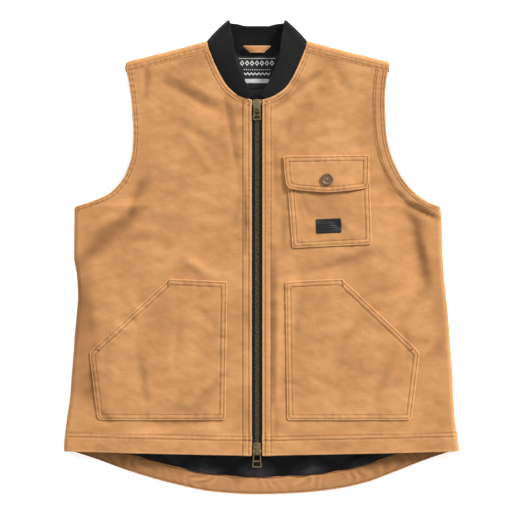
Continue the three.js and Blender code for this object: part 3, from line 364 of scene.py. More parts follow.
@dataclass(frozen=True)
class Garment:
    """The vest's shape: the same sizes and tables as its solids, read smoothly.

    x is measured from the zip and y from the tail; place() moves them into the frame.
    """

    zip_x: float
    tail_y: float
    length: float = 0.760
    chest_half: float = 0.294
    canvas: float = 1.4 * MM
    lining: float = 2.2 * MM
    gap: float = 0.3 * MM
    turn_radius: float = 8.5 * MM
    crown: float = 8 * MM
    crown_reach: float = 0.070
    fold_fade: float = 0.026
    hem_band: float = 0.029
    tape_shown: float = 9 * MM
    shoulder_seam_row: int = SEAM_ROW
    back_neck: float = 0.945
    neck_share: float = 0.4
    fine_from_side: float = 12 * MM
    fine_from_seam: float = 9 * MM
    fine_from_zip: float = 6 * MM
    slope_step: float = 0.8 * MM
    edge_strip: float = 15.5 * MM
    meshed_width: float = 0.25
    # Strength and height scale of the tone that pales ridges, from wear and painted light, and darkens
    # valleys with painted shade.
    rub: float = 0.26
    rub_height: float = 1.6 * MM
    ripples: tuple[Ripple, ...] = (
        Ripple(0.080, 0.9 * MM, 3, 1.3),
        Ripple(0.036, 0.42 * MM, 5, 0.8),
        Ripple(0.018, 0.17 * MM, 8, 0.7),
    )

    def place(self, x: Array, y: Array, z: Array) -> Array:
        """Points in the frame, from x and y of the vest."""
        return np.stack([x + self.zip_x, y + self.tail_y, np.broadcast_to(z, np.shape(x))], axis=-1)

    def column(self, name: str, y: Array) -> Array:
        """A column of the outline, read at height y."""
        rows = [getattr(row, name) for row in OUTLINE]
        return smooth_through(np.asarray(y) / self.length, [row.y for row in OUTLINE], rows)

    def at_row(self, name: str, row: Array) -> Array:
        """A column of the outline, read at a row number, which need not be whole."""
        return smooth_through(row, range(len(OUTLINE)), [getattr(r, name) for r in OUTLINE])

    def half(self, side: Side, y: Array) -> Array:
        """Half width from the zip to the side's fold or edge."""
        return self.chest_half * self.column(side.word, y)

    def turn(self, curl: Array, angle: float | Array) -> tuple[Array, Array, Array]:
        """Width, drop and lean of an edge that turns through an angle; a curl of 0 leaves it flat.

        Args:
            curl: How much of a turn the edge has.
            angle: How far round the turn.

        Returns:
            Width, drop and lean.
        """
        lean = np.maximum(curl, 1e-3) * angle
        radius = self.turn_radius / np.maximum(curl, 1e-3)
        return radius * np.sin(lean), radius * (1 - np.cos(lean)), lean

    def flat_half(self, side: Side, y: Array) -> Array:
        """Half width of the part that lies flat, inside the turned edge."""
        return self.half(side, y) - self.turn(self.column("curl", y), math.pi / 2)[0]

    def neck_half(self, y: Array) -> Array:
        """Half width of the front neck at height y, and of the zip's gap below it.

        Args:
            y: Distances from the tail.

        Returns:
            The half width at each height.
        """
        heights, halves = zip(*NECK)
        share = smooth_through(np.asarray(y) / self.length, heights, halves)
        return np.maximum(self.tape_shown, self.chest_half * share)

    def along_shoulder(self, side: Side, x: Array, row: Section) -> Array:
        """Height on the table of a straight line from the neck to the shoulder's end.

        Args:
            side: Which half of the vest.
            x: Distances from the zip.
            row: The outline's row that the line ends at.

        Returns:
            The height at each x.
        """
        end_x, end_y = self.chest_half * getattr(row, side.word), self.length * row.y
        neck_y = self.length * row.inner
        neck_x = float(self.neck_half(np.array(neck_y)))
        return neck_y + (end_y - neck_y) * (np.abs(x) - neck_x) / (end_x - neck_x)

    def top(self, x: Array, y: Array, fine: bool = True) -> Array:
        """Height of the front's outer face over the table.

        Args:
            x: Distance from the zip, negative on the wearer's right.
            y: Distance from the tail.
            fine: Whether creases and unevenness are added to the solids' own folds.

        Returns:
            The height at each point.
        """
        x, y = np.asarray(x, float), np.asarray(y, float)
        on_left = x > 0
        inward = np.where(on_left, self.flat_half(Side.LEFT, y), self.flat_half(Side.RIGHT, y)) - np.abs(x)
        reach = np.maximum(np.abs(x), self.neck_half(y))
        seam = OUTLINE[self.shoulder_seam_row]
        down = np.where(
            on_left, self.along_shoulder(Side.LEFT, reach, seam), self.along_shoulder(Side.RIGHT, reach, seam)
        ) - y

        def rise(distance: Array, over: float) -> Array:
            """0 at an edge, and nearly 1 further in than a reach."""
            return 1 - np.exp(-((np.maximum(0, distance) / over) ** 2))

        fade = rise(inward, self.fold_fade) * rise(down, self.fold_fade)
        fade = fade * rise(np.abs(x) - self.tape_shown, self.fold_fade)
        crown = self.crown * rise(inward, self.crown_reach) * rise(down, self.crown_reach)
        folds = np.zeros(np.shape(x))
        for fold in FOLDS:
            start, end = ((a * self.chest_half, b * self.length) for a, b in (fold.start, fold.end))
            away, _ = near_line(x, y, start, end)
            folds += fold.height * self.crown * np.exp(-((away / (fold.reach * self.chest_half)) ** 2))
        height = 2 * self.turn_radius + crown + fade * folds
        if not fine:
            return height
        close = rise(inward, self.fine_from_side) * rise(down, self.fine_from_seam)
        close = close * rise(np.abs(x) - self.tape_shown, self.fine_from_zip)
        return height + close * self.unevenness(x, y)

    def unevenness(self, x: Array, y: Array) -> Array:
        """Height of the fine creases and of the cloth's own waves."""
        return self.creases(x, y) + sum(ripple.at(x, y) for ripple in self.ripples)

    def rubbed(self, x: Array, y: Array) -> Array:
        """How pale the cloth is: above 0 on ridges, from wear and painted highlight, and below 0 in valleys
        and the broad zones, from painted shade.
        """
        return self.rub * np.tanh(self.unevenness(x, y) / self.rub_height) - self.shade(x, y)

    def shade(self, x: Array, y: Array) -> Array:
        """How much darker the cloth is in the broad zones of painted shade.

        Args:
            x: Distances from the zip.
            y: Distances from the tail.

        Returns:
            How dark each point is, from 0.
        """
        total = np.zeros(np.shape(x))
        for zone in PAINTED_SHADE_ZONES:
            start, end = ((a * MM, b * MM) for a, b in (zone.start, zone.end))
            away, _ = near_line(x, y, start, end)
            total += zone.height * np.exp(-((away / (zone.reach * MM)) ** 2))
        return total

    def creases(self, x: Array, y: Array) -> Array:
        """Height of the fine creases.

        Args:
            x: Distances from the zip.
            y: Distances from the tail.

        Returns:
            The height at each point.
        """
        total = np.zeros(np.shape(x))
        for crease in CREASES:
            start, end = ((a * MM, b * MM) for a, b in (crease.start, crease.end))
            away, share = near_line(x, y, start, end)
            taper = 0.35 + 0.65 * np.sin(math.pi * share)
            total += crease.height * MM * taper * np.exp(-((away / (crease.reach * MM)) ** 2))
        return total

    def rows_between(self, side: Side, last: int, step: float, fine: float) -> Array:
        """Row numbers from the hem to row last, a mesh step apart, and closer together in the hem.

        Args:
            side: Which half of the vest.
            last: The last row.
            step: Mesh step.
            fine: Mesh step in the hem.

        Returns:
            The row numbers, which need not be whole.
        """
        rows = [0.0]
        while rows[-1] < last:
            k = int(rows[-1])
            a, b = OUTLINE[k], OUTLINE[k + 1]
            wider = (getattr(b, side.word) - getattr(a, side.word)) * self.chest_half
            out = math.hypot((b.y - a.y) * self.length, wider)
            span = max(out, (b.inner - a.inner) * self.length)
            low = self.length * (a.inner + (rows[-1] - k) * (b.inner - a.inner) - OUTLINE[HEM_ROW].inner)
            after = rows[-1] + (fine if low < self.hem_band + 4 * MM else step) / span
            rows.append(k + 1.0 if after > k + 1 - 0.3 * step / span else after)
        return np.array(rows)

    def front(
        self, side: Side, step: float, fine: float, turned: int = 8, start_in: float = 0.0
    ) -> tuple[Array, Array]:
        """The front's outer face as a grid of points and normals, rows from the hem to the shoulder.

        Args:
            side: Which front.
            step: Mesh step.
            fine: Mesh step along the zip, neck and hem.
            turned: Columns round the side's turned edge.
            start_in: How far from the zip's edge the first column lies.

        Returns:
            Points and normals, each of shape (rows, columns, 3), x and y measured from zip and tail.
        """
        rows = self.rows_between(side, SEAM_ROW, step, fine)
        outer = self.length * self.at_row("y", rows)
        inner = self.length * self.at_row("inner", rows)
        edge_x = self.neck_half(inner)
        start = edge_x + start_in
        curl = self.column("curl", outer)
        end = self.flat_half(side, outer)
        full = self.half(side, outer)

        def level(away: Array) -> Array:
            """Height on the table of a row, at distances from the zip."""
            climb = (outer - inner) / (full - edge_x)
            return inner[:, None] + (away - edge_x[:, None]) * climb[:, None]

        close = np.arange(0, self.edge_strip, fine)
        share = np.linspace(0, 1, round(self.meshed_width / step) + 1)[1:]
        middle = (start + close[-1])[:, None] + (end - start - close[-1])[:, None] * share
        away = np.hstack([start[:, None] + close, middle])
        x, y = side.value * away, level(away)
        z = self.top(x, y)
        delta = self.slope_step
        slope_x = (self.top(x + delta, y) - self.top(x - delta, y)) / (2 * delta)
        slope_y = (self.top(x, y + delta) - self.top(x, y - delta)) / (2 * delta)
        flat_n = np.stack([-slope_x, -slope_y, np.ones_like(z)], axis=-1)
        flat_n /= np.linalg.norm(flat_n, axis=-1, keepdims=True)
        angle = (np.arange(turned) + 1) / turned * (math.pi / 2 - self.gap / 2 / self.turn_radius)
        out, drop, lean = self.turn(curl[:, None], angle[None, :])
        turned_x = away[:, -1:] + out
        round_p = np.stack([side.value * turned_x, level(turned_x), z[:, -1:] - drop], axis=-1)
        round_n = np.stack([side.value * np.sin(lean), np.zeros_like(lean), np.cos(lean)], axis=-1)
        points = np.concatenate([np.stack([x, y, z], axis=-1), round_p], axis=1)
        return points, np.concatenate([flat_n, round_n], axis=1)

    def tail(self, share: Array) -> Array:
        """Height of the tail's edge at a share of the half width."""
        across, heights = zip(*TAIL)
        return self.length * smooth_through(share, across, heights)

    def fold_flat(self, side: Side, x: Array) -> Array:
        """Where the flat back ends and the shoulder's fold begins."""
        return self.along_shoulder(side, x, OUTLINE[FOLD_ROW]) - self.turn_radius

    def neck_corner(self) -> float:
        """Half width of the neck at the shoulder's fold."""
        return float(self.neck_half(np.array(self.length * OUTLINE[FOLD_ROW].inner)))

    def back_top(self, side: Side, x: Array) -> Array:
        """Upper edge of the flat back: the shoulder fold, and the scooped back neck between the corners.

        Args:
            side: Which half of the vest.
            x: Distances from the zip.

        Returns:
            The edge's height on the table at each x.
        """
        corner, low = self.neck_corner(), self.back_neck * self.length
        scoop = low + (self.fold_flat(side, corner) - low) * (np.asarray(x) / corner) ** 2
        return np.where(np.abs(x) >= corner, self.fold_flat(side, x), scoop)

    def upper_share(self, side: Side, y: float) -> float:
        """0 up to the armhole's foot and 1 at the shoulder's tip, for a row whose ends are at height y.

        Args:
            side: Which half of the vest.
            y: Height of the row's ends.

        Returns:
            A share from 0 to 1.
        """
        arm = self.length * OUTLINE[ARMHOLE_ROW].y
        tip = float(self.fold_flat(side, self.half(side, np.array(y))))
        return min(1.0, max(0.0, (y - arm) / (tip - arm)))

    def back_flat(self, side: Side, share: Array, y: float, lift: float) -> tuple[Array, Array]:
        """Points of the flat back at shares of the half width, for a row whose ends are at height y.

        Args:
            side: Which half of the vest.
            share: Share of the half width.
            y: Height of the row's ends.
            lift: How far above the tail's edge the lowest row lies.

        Returns:
            x and y of the row's points.
        """
        bottom = self.length * OUTLINE[HEM_ROW].y + lift
        arm = self.length * OUTLINE[ARMHOLE_ROW].y
        tip = float(self.fold_flat(side, self.half(side, np.array(y))))
        corner, end = self.neck_corner(), float(self.flat_half(side, np.array(y)))
        upper = self.upper_share(side, y)
        inside = share / self.neck_share * corner
        outside = corner + (end - corner) * (share - self.neck_share) / (1 - self.neck_share)
        fitted = np.where(share <= self.neck_share, inside, outside)
        x = side.value * (share * end + (fitted - share * end) * upper)
        lower = min(1.0, max(0.0, (y - bottom) / (arm - bottom)))
        sag = self.tail(side.value * share) - self.length * OUTLINE[HEM_ROW].y
        return x, y + sag * (1 - lower) + (self.back_top(side, x) - tip) * upper

    def back(self, step: float, fine: float, lift: float, turned: int = 8) -> tuple[Array, Array, int, Array]:
        """The back's outer face, which faces down, as a grid from the wearer's right to the left.

        Args:
            step: Mesh step.
            fine: Mesh step over the shoulder.
            lift: How far above the tail's edge the lowest row lies.
            turned: Columns round each side's turned edge.

        Returns:
            Points, normals, the number of flat rows, and whether each column lies within the neck.
        """
        start = self.length * OUTLINE[HEM_ROW].y + lift
        tip = self.length * OUTLINE[FOLD_ROW].y - self.turn_radius
        heights = np.linspace(start, tip, round((tip - start) / step))
        columns = round(0.5 * self.chest_half / (self.neck_share * step)) // 2
        inner = np.linspace(0, self.neck_share, columns + 1)[1:]
        beyond_neck = round(columns * (1 - self.neck_share) / self.neck_share)
        outer = np.linspace(self.neck_share, 1, beyond_neck + 1)[1:]
        share = np.concatenate([inner, outer])
        rows_p, rows_n = [], []
        for y in heights:
            halves = []
            for side in Side:
                x, level = self.back_flat(side, share, y, lift)
                angle = (np.arange(turned) + 1) / turned * (math.pi / 2 - self.gap / 2 / self.turn_radius)
                out, drop, lean = self.turn(self.column("curl", np.array(y)), angle)
                beyond = x[-1] + side.value * out
                climb = self.back_top(side, beyond) - self.back_top(side, x[-1])
                px = np.concatenate([x, beyond])
                py = np.concatenate([level, level[-1] + climb * self.upper_share(side, y)])
                pz = np.concatenate([np.zeros_like(x), drop])
                nx = np.concatenate([np.zeros_like(x), side.value * np.sin(lean)])
                nz = np.concatenate([-np.ones_like(x), -np.cos(lean)])
                halves.append((np.stack([px, py, pz], 1), np.stack([nx, np.zeros_like(nx), nz], 1)))
            _, middle_y = self.back_flat(Side.LEFT, np.array([0.0]), y, lift)
            centre = np.array([[0.0, middle_y[0], 0.0]]), np.array([[0.0, 0.0, -1.0]])
            order = (halves[0][0][::-1], centre[0], halves[1][0])
            rows_p.append(np.concatenate(order))
            rows_n.append(np.concatenate((halves[0][1][::-1], centre[1], halves[1][1])))
        last_p = rows_p[-1]
        for angle in np.linspace(0, math.pi, 13)[1:]:
            p, n = last_p.copy(), np.zeros_like(last_p)
            p[:, 1] += self.turn_radius * math.sin(angle)
            p[:, 2] = self.turn_radius * (1 - math.cos(angle))
            n[:, 1], n[:, 2] = math.sin(angle), -math.cos(angle)
            rows_p.append(p)
            rows_n.append(n)
        seam = np.empty(len(last_p))
        for side in Side:
            on_side = np.sign(last_p[:, 0]) == side.value
            seam = np.where(on_side, self.along_shoulder(side, last_p[:, 0], OUTLINE[SEAM_ROW]), seam)
        end_row = rows_p[-1]
        for share_down in np.linspace(0, 1, round(2 * self.turn_radius / fine))[1:]:
            p, n = end_row.copy(), np.zeros_like(last_p)
            p[:, 1] += (seam + self.gap - p[:, 1]) * share_down
            n[:, 2] = 1
            rows_p.append(p)
            rows_n.append(n)
        middle = turned + len(share)
        column = np.abs(np.arange(2 * middle + 1) - middle)
        inside_neck = column <= len(inner)
        beyond = np.clip((column - len(inner)) / (len(share) - len(inner)), 0, 1)
        for p in rows_p[len(heights):]:
            p[:, 0] += np.sign(p[:, 0]) * (self.neck_half(p[:, 1]) - self.neck_corner()) * (1 - beyond)
        return np.stack(rows_p), np.stack(rows_n), len(heights), inside_neck


# Meshes


def grid_faces(
    rows: int, columns: int, keep: Callable[[int, int], bool] | None = None
) -> list[tuple[int, ...]]:
    """The quads of a grid, less those that keep turns away.

    Args:
        rows: Rows of points.
        columns: Points in a row.
        keep: Whether the quad at a row and column is kept.

    Returns:
        Each quad's four points.
    """
    return [
        (i * columns + j, i * columns + j + 1, (i + 1) * columns + j + 1, (i + 1) * columns + j)
        for i in range(rows - 1)
        for j in range(columns - 1)
        if keep is None or keep(i, j)
    ]


@dataclass
class Cloth:
    """A sheet before it has a thickness: points, outward normals, faces and what its material reads.

    The faces turn anticlockwise about the normals. wear is above 0 where the cloth is paler, from wear and
    painted highlight, and below 0 where painted shade darkens it, and uv runs in metres along the sheet.
    """

    points: Array
    normals: Array
    faces: list[tuple[int, ...]]
    uv: Array | None = None
    wear: Array | None = None

    def turned_right(self) -> Cloth:
        """The same sheet with its faces turned to agree with its normals."""
        face = self.faces[len(self.faces) // 2]
        a, b, c = (self.points[i] for i in face[:3])
        if np.dot(np.cross(b - a, c - b), self.normals[face[0]]) < 0:
            self.faces = [tuple(reversed(f)) for f in self.faces]
        return self

    def mesh(self, name: str, above: Array | float, below: Array | float, bulge: float = 0.8) -> Mesh:
        """Closes the sheet into a wall with rounded edges.

        Args:
            name: The mesh's name.
            above: Distance of the outer face along the normals.
            below: Distance of the inner face, less than above.
            bulge: How round the edges are, 0 for square.

        Returns:
            A closed mesh.
        """
        self.turned_right()
        count = len(self.points)
        used = np.zeros(count, bool)
        used[np.concatenate([np.array(f) for f in self.faces])] = True
        outer = self.points + self.normals * np.reshape(np.broadcast_to(above, (count,)), (-1, 1))
        inner = self.points + self.normals * np.reshape(np.broadcast_to(below, (count,)), (-1, 1))
        half_edges = {(f[k - 1], f[k]) for f in self.faces for k in range(len(f))}
        rim = [edge for edge in half_edges if (edge[1], edge[0]) not in half_edges]
        rim.sort()
        away = np.zeros_like(self.points)
        for a, b in rim:
            out = np.cross(self.points[b] - self.points[a], self.normals[a])
            away[[a, b]] += out / max(np.linalg.norm(out), 1e-9)
        size = np.linalg.norm(away, axis=1, keepdims=True)
        away = away / np.where(size > 0, size, 1)
        on_rim = sorted({i for edge in rim for i in edge})
        index = {v: k for k, v in enumerate(on_rim)}
        rings = []
        thickness = np.linalg.norm(outer - inner, axis=1, keepdims=True)
        for share in (0.86, 0.5, 0.14):
            ring = inner + (outer - inner) * share
            ring = ring + away * bulge * thickness / 2 * math.sqrt(1 - (2 * share - 1) ** 2)
            rings.append(ring[on_rim])
        verts = np.concatenate([outer, inner, *rings])
        faces = list(self.faces) + [tuple(count + i for i in reversed(f)) for f in self.faces]
        levels = [lambda v, k=k: 2 * count + k * len(on_rim) + index[v] for k in range(3)]
        levels = [lambda v: v, *levels, lambda v: count + v]
        for high, low in zip(levels[:-1], levels[1:]):
            faces += [(high(b), high(a), low(a), low(b)) for a, b in rim]
        kept = np.concatenate([used, used, np.ones(len(verts) - 2 * count, bool)])
        new = np.cumsum(kept) - 1
        mesh = bpy.data.meshes.new(name)
        mesh.from_pydata(verts[kept].tolist(), [], [tuple(int(new[i]) for i in f) for f in faces])
        mesh.polygons.foreach_set("use_smooth", np.ones(len(mesh.polygons), bool))
        source = np.concatenate([np.arange(count), np.arange(count), *[on_rim] * 3])[kept].astype(int)
        if self.uv is not None:
            layer = mesh.uv_layers.new(name="UVMap")
            corner = np.empty(len(mesh.loops), int)
            mesh.loops.foreach_get("vertex_index", corner)
            layer.data.foreach_set("uv", self.uv[source][corner].ravel())
        if self.wear is not None:
            attribute = mesh.attributes.new("wear", "FLOAT", "POINT")
            attribute.data.foreach_set("value", self.wear[source].astype(float))
        mesh.update()
        return mesh


def facing_up(
    points: Array, faces: list[tuple[int, ...]], wear: Array | None = None, uv: Array | None = None
) -> Cloth:
    """A sheet whose outer face looks straight up.

    Args:
        points: Its points, in a grid or a list.
        faces: Its faces.
        wear: How pale its material is at each point, from wear and from painted light and shade.
        uv: Metres along the sheet at each point.

    Returns:
        The sheet.
    """
    points = points.reshape(-1, 3)
    wear = None if wear is None else wear.ravel()
    uv = None if uv is None else uv.reshape(-1, 2)
    return Cloth(points, np.broadcast_to([0.0, 0.0, 1.0], points.shape), faces, uv=uv, wear=wear)


def cut_cloth(outline: Array, step: float, fine: float, band: float) -> tuple[Array, list[tuple[int, ...]]]:
    """Fills an outline with small triangles.

    Args:
        outline: Corners of the cut, anticlockwise, of shape (n, 2).
        step: Mesh step.
        fine: Mesh step near the edge.
        band: How far in the fine steps reach.

    Returns:
        The points, of shape (m, 2), and the faces.
    """
    border = dense(outline, fine, closed=True)
    ring = np.vstack([outline, outline[:1]])
    low, high = outline.min(0), outline.max(0)
    points = [border]
    for spacing, nearest, furthest in ((fine, 0.55 * fine, band), (step, band, math.inf)):
        across, up = (np.arange(a + spacing / 2, b, spacing) for a, b in zip(low, high))
        x, y = np.meshgrid(across, up)
        x = x + spacing / 2 * (np.arange(len(up)) % 2)[:, None]
        distance, _ = near_path(x, y, ring)
        keep = inside(x, y, outline) & (distance > nearest) & (distance <= furthest)
        points.append(np.stack([x[keep], y[keep]], 1))
    points = np.vstack(points)
    edges = [(i, (i + 1) % len(border)) for i in range(len(border))]
    found = delaunay_2d_cdt([Vector(p) for p in points.tolist()], edges, [], 1, 1e-7)
    return np.array([tuple(p) for p in found[0]]), [tuple(f) for f in found[2]]


def dense(path: Array, step: float, closed: bool = False) -> Array:
    """A path with points added so that none is further than a step from the next.

    Args:
        path: Points of the path.
        step: The longest distance between two points.
        closed: Whether the last point joins the first.

    Returns:
        The path's points with those added.
    """
    ends = np.vstack([path, path[:1]]) if closed else path
    out = []
    for a, b in zip(ends[:-1], ends[1:]):
        count = max(1, math.ceil(float(np.linalg.norm(b - a)) / step))
        out += [a + (b - a) * k / count for k in range(count)]
    return np.array(out if closed else [*out, ends[-1]])


def inside(x: Array, y: Array, outline: Array) -> Array:
    """Whether points lie inside an outline.

    Args:
        x: Points' x.
        y: Points' y.
        outline: Corners of the outline.

    Returns:
        True for each point inside.
    """
    hit = np.zeros(np.shape(x), bool)
    for (ax, ay), (bx, by) in zip(outline, np.roll(outline, -1, axis=0)):
        crosses = (ay > y) != (by > y)
        hit ^= crosses & (x < ax + (bx - ax) * (y - ay) / (by - ay if by != ay else 1))
    return hit


def rounded(corners: Array, radius: float, steps: int = 4) -> Array:
    """An outline with each corner cut to a short curve.

    Args:
        corners: Its corners.
        radius: How far from a corner its curve starts.
        steps: Points on each curve.

    Returns:
        The outline's points.
    """
    out = []
    for before, here, after in zip(np.roll(corners, 1, axis=0), corners, np.roll(corners, -1, axis=0)):
        lead, leave = before - here, after - here
        reach = min(radius, np.linalg.norm(lead) / 2.5, np.linalg.norm(leave) / 2.5)
        a = here + lead / np.linalg.norm(lead) * reach
        b = here + leave / np.linalg.norm(leave) * reach
        out += [(1 - t) ** 2 * a + 2 * t * (1 - t) * here + t * t * b for t in np.linspace(0, 1, steps)]
    return np.array(out)


def add_piece(
    name: str, mesh: Mesh, material: Material,
    nodes: Iterable[str] = (), body: str = BODY,
) -> bpy.types.Object:
    """Adds a finished mesh to the scene as a piece of the vest.

    Args:
        name: The piece's name.
        mesh: Its mesh, in the frame.
        material: Its finish.
        nodes: The CAD nodes it stands for.
        body: The body it rides on.

    Returns:
        The piece.
    """
    piece = bpy.data.objects.new(name, mesh)
    bpy.context.scene.collection.objects.link(piece)
    if not mesh.materials:
        mesh.materials.append(material)
    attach(piece, body)
    if nodes:
        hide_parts(*nodes)
    log.info("%s: %d faces", name, len(mesh.polygons))
    return piece


# Rows of small things


@dataclass
class RowsTree:
    """The Geometry Nodes tree that sets copies of one item along drawn lines."""

    tree: bpy.types.NodeTree = field(init=False)
    sockets: dict[str, str] = field(init=False)

    def __post_init__(self) -> None:
        """Builds the tree once."""
        self.tree = bpy.data.node_groups.new("set_along_lines", "GeometryNodeTree")
        face = self.tree.interface
        face.new_socket(name="Lines", in_out="INPUT", socket_type="NodeSocketGeometry")
        kinds = {
            "Item": "Object", "Pitch": "Float", "Turn": "Float",
            "Jitter": "Float", "Seed": "Int", "Finish": "Material",
        }
        self.sockets = {
            name: face.new_socket(name=name, in_out="INPUT", socket_type=f"NodeSocket{kind}").identifier
            for name, kind in kinds.items()
        }
        face.new_socket(name="Geometry", in_out="OUTPUT", socket_type="NodeSocketGeometry")
        given = self.node("NodeGroupInput", {}, {}).outputs
        spaced = self.node(
            "GeometryNodeResampleCurve", {"mode": "LENGTH"},
            {"Curve": given["Lines"], "Length": given["Pitch"]},
        )
        along = self.node("GeometryNodeInputTangent", {}, {})
        faced = self.node("FunctionNodeAlignRotationToVector", {"axis": "X"}, {"Vector": along.outputs[0]})
        upright = self.node(
            "FunctionNodeAlignRotationToVector", {"axis": "Z", "pivot_axis": "X"},
            {"Rotation": faced.outputs[0], "Vector": (0, 0, 1)},
        )
        about = self.node("ShaderNodeCombineXYZ", {}, {"Z": given["Turn"]})
        turned = self.node("FunctionNodeEulerToRotation", {}, {0: about.outputs[0]})
        placed = self.node(
            "FunctionNodeRotateRotation", {"rotation_space": "LOCAL"},
            {"Rotation": upright.outputs[0], "Rotate By": turned.outputs[0]},
        )
        low = self.node("ShaderNodeMath", {"operation": "SUBTRACT"}, {0: 1.0, 1: given["Jitter"]})
        high = self.node("ShaderNodeMath", {"operation": "ADD"}, {0: 1.0, 1: given["Jitter"]})
        size = self.node(
            "FunctionNodeRandomValue", {"data_type": "FLOAT"},
            {2: low.outputs[0], 3: high.outputs[0], "Seed": given["Seed"]},
        )
        item = self.node("GeometryNodeObjectInfo", {"transform_space": "ORIGINAL"}, {"Object": given["Item"]})
        copies = self.node(
            "GeometryNodeInstanceOnPoints", {},
            {"Points": spaced.outputs[0], "Instance": item.outputs["Geometry"],
             "Rotation": placed.outputs[0], "Scale": size.outputs[1]},
        )
        real = self.node("GeometryNodeRealizeInstances", {}, {0: copies.outputs[0]})
        done = self.node(
            "GeometryNodeSetMaterial", {}, {"Geometry": real.outputs[0], "Material": given["Finish"]}
        )
        self.node("NodeGroupOutput", {}, {0: done.outputs[0]})

    def node(self, kind: str, settings: dict[str, object], inputs: dict[str | int, object]) -> bpy.types.Node:
        """Adds a node, its settings first, then the values or links of its sockets.

        Args:
            kind: The node's type.
            settings: Its own settings.
            inputs: Values or links, by socket.

        Returns:
            The node.
        """
        node = self.tree.nodes.new(kind)
        for key, value in settings.items():
            setattr(node, key, value)
        for key, value in inputs.items():
            if isinstance(value, bpy.types.NodeSocket):
                self.tree.links.new(value, node.inputs[key])
            else:
                node.inputs[key].default_value = value
        return node

    def mesh(
        self, name: str, item: Mesh, lines: Sequence[Array], pitch: float,
        finish: Material, turn: float = 0.0, jitter: float = 0.0,
    ) -> Mesh:
        """Sets copies of an item along lines.

        Args:
            name: The new mesh's name.
            item: A small mesh whose X runs along the line and whose Z points up.
            lines: Points of each line, in the frame.
            pitch: Distance from one copy to the next.
            finish: The copies' material.
            turn: Angle by which each copy is turned about its Z.
            jitter: How much the copies' sizes vary.

        Returns:
            One plain mesh.
        """
        curve = bpy.data.curves.new(name, "CURVE")
        curve.dimensions = "3D"
        for line in lines:
            spline = curve.splines.new("POLY")
            spline.points.add(len(line) - 1)
            spline.points.foreach_set("co", np.hstack([line, np.ones((len(line), 1))]).ravel())
        carrier, model = bpy.data.objects.new(name, curve), bpy.data.objects.new(f"{name}_item", item)
        modifier = carrier.modifiers.new("rows", "NODES")
        modifier.node_group = self.tree
        values = {
            "Item": model, "Pitch": pitch, "Turn": turn,
            "Jitter": jitter, "Seed": len(lines), "Finish": finish,
        }
        for key, value in values.items():
            modifier[self.sockets[key]] = value
        for thing in (carrier, model):
            bpy.context.scene.collection.objects.link(thing)
        shown = carrier.evaluated_get(bpy.context.evaluated_depsgraph_get())
        mesh = bpy.data.meshes.new_from_object(shown, preserve_all_data_layers=False)
        mesh.name = name
        carrier.modifiers.remove(modifier)
        for thing in (carrier, model):
            bpy.data.objects.remove(thing)
        return mesh


def stitch(length: float, width: float, sides: int = 5) -> Mesh:
    """One stitch: thread that rises out of the cloth, lies on it and dips back in.

    Args:
        length: Its length.
        width: The thread's width.
        sides: Sides of the thread's section.

    Returns:
        A closed mesh along X.
    """
    rings = ((-0.5, 0.25, -0.5), (-0.28, 0.95, 0.25), (0.0, 1.0, 0.42), (0.28, 0.95, 0.25), (0.5, 0.25, -0.5))
    verts, faces = [], []
    for along, share, lift in rings:
        for k in range(sides):
            angle = math.tau * k / sides
            out, up = share * width / 2 * math.cos(angle), share * width / 2 * math.sin(angle)
            verts.append((along * length, out, width * lift + up))
    for i in range(len(rings) - 1):
        for k in range(sides):
            a, b = i * sides + k, i * sides + (k + 1) % sides
            faces.append((a, b, b + sides, a + sides))
    faces.append(tuple(reversed(range(sides))))
    faces.append(tuple(range((len(rings) - 1) * sides, len(rings) * sides)))
    mesh = bpy.data.meshes.new("stitch")
    mesh.from_pydata(verts, [], faces)
    return faced_out(mesh, smooth=True)


def faced_out(mesh: Mesh, smooth: bool = False) -> Mesh:
    """Merges a closed mesh's doubled points and turns its faces outwards.

    Args:
        mesh: A closed mesh, which is changed.
        smooth: Whether it is shaded smoothly.

    Returns:
        The same mesh.
    """
    made = bmesh.new()
    made.from_mesh(mesh)
    bmesh.ops.remove_doubles(made, verts=made.verts, dist=1e-6)
    bmesh.ops.recalc_face_normals(made, faces=made.faces)
    for face in made.faces:
        face.smooth = smooth
    made.to_mesh(mesh)
    made.free()
    return mesh


def bevelled(mesh: Mesh, width: float, steps: int = 2, sharp: float = 25.0) -> Mesh:
    """Rounds a mesh's sharp edges.

    Args:
        mesh: A closed mesh, which is changed.
        width: How far the rounding reaches from the edge.
        steps: Faces across the rounding.
        sharp: Edges turned by more than this many degrees are rounded.

    Returns:
        The same mesh.
    """
    made = bmesh.new()
    made.from_mesh(mesh)
    bmesh.ops.remove_doubles(made, verts=made.verts, dist=1e-6)
    bmesh.ops.dissolve_limit(made, angle_limit=math.radians(1), verts=made.verts, edges=made.edges)
    edges = [e for e in made.edges if len(e.link_faces) == 2 and e.calc_face_angle() > math.radians(sharp)]
    bmesh.ops.bevel(
        made, geom=edges, offset=width, offset_type="OFFSET", segments=steps, profile=0.5,
        affect="EDGES", clamp_overlap=True,
    )
    bmesh.ops.recalc_face_normals(made, faces=made.faces)
    for face in made.faces:
        face.smooth = True
    made.to_mesh(mesh)
    made.free()
    mesh.set_sharp_from_angle(angle=math.radians(35))
    return mesh


def beside(path: Array, distance: float, towards: Array) -> Array:
    """A path moved sideways by a distance, to the side on which a point lies.

    Args:
        path: Points of the path.
        distance: How far it moves.
        towards: A point on the side that it moves to.

    Returns:
        The moved points.
    """
    run = np.gradient(path, axis=0)
    side = np.stack([-run[:, 1], run[:, 0]], 1) / np.linalg.norm(run, axis=1, keepdims=True)
    way = np.sign(np.sum(side * (towards - path), axis=1).sum())
    return path + way * distance * side


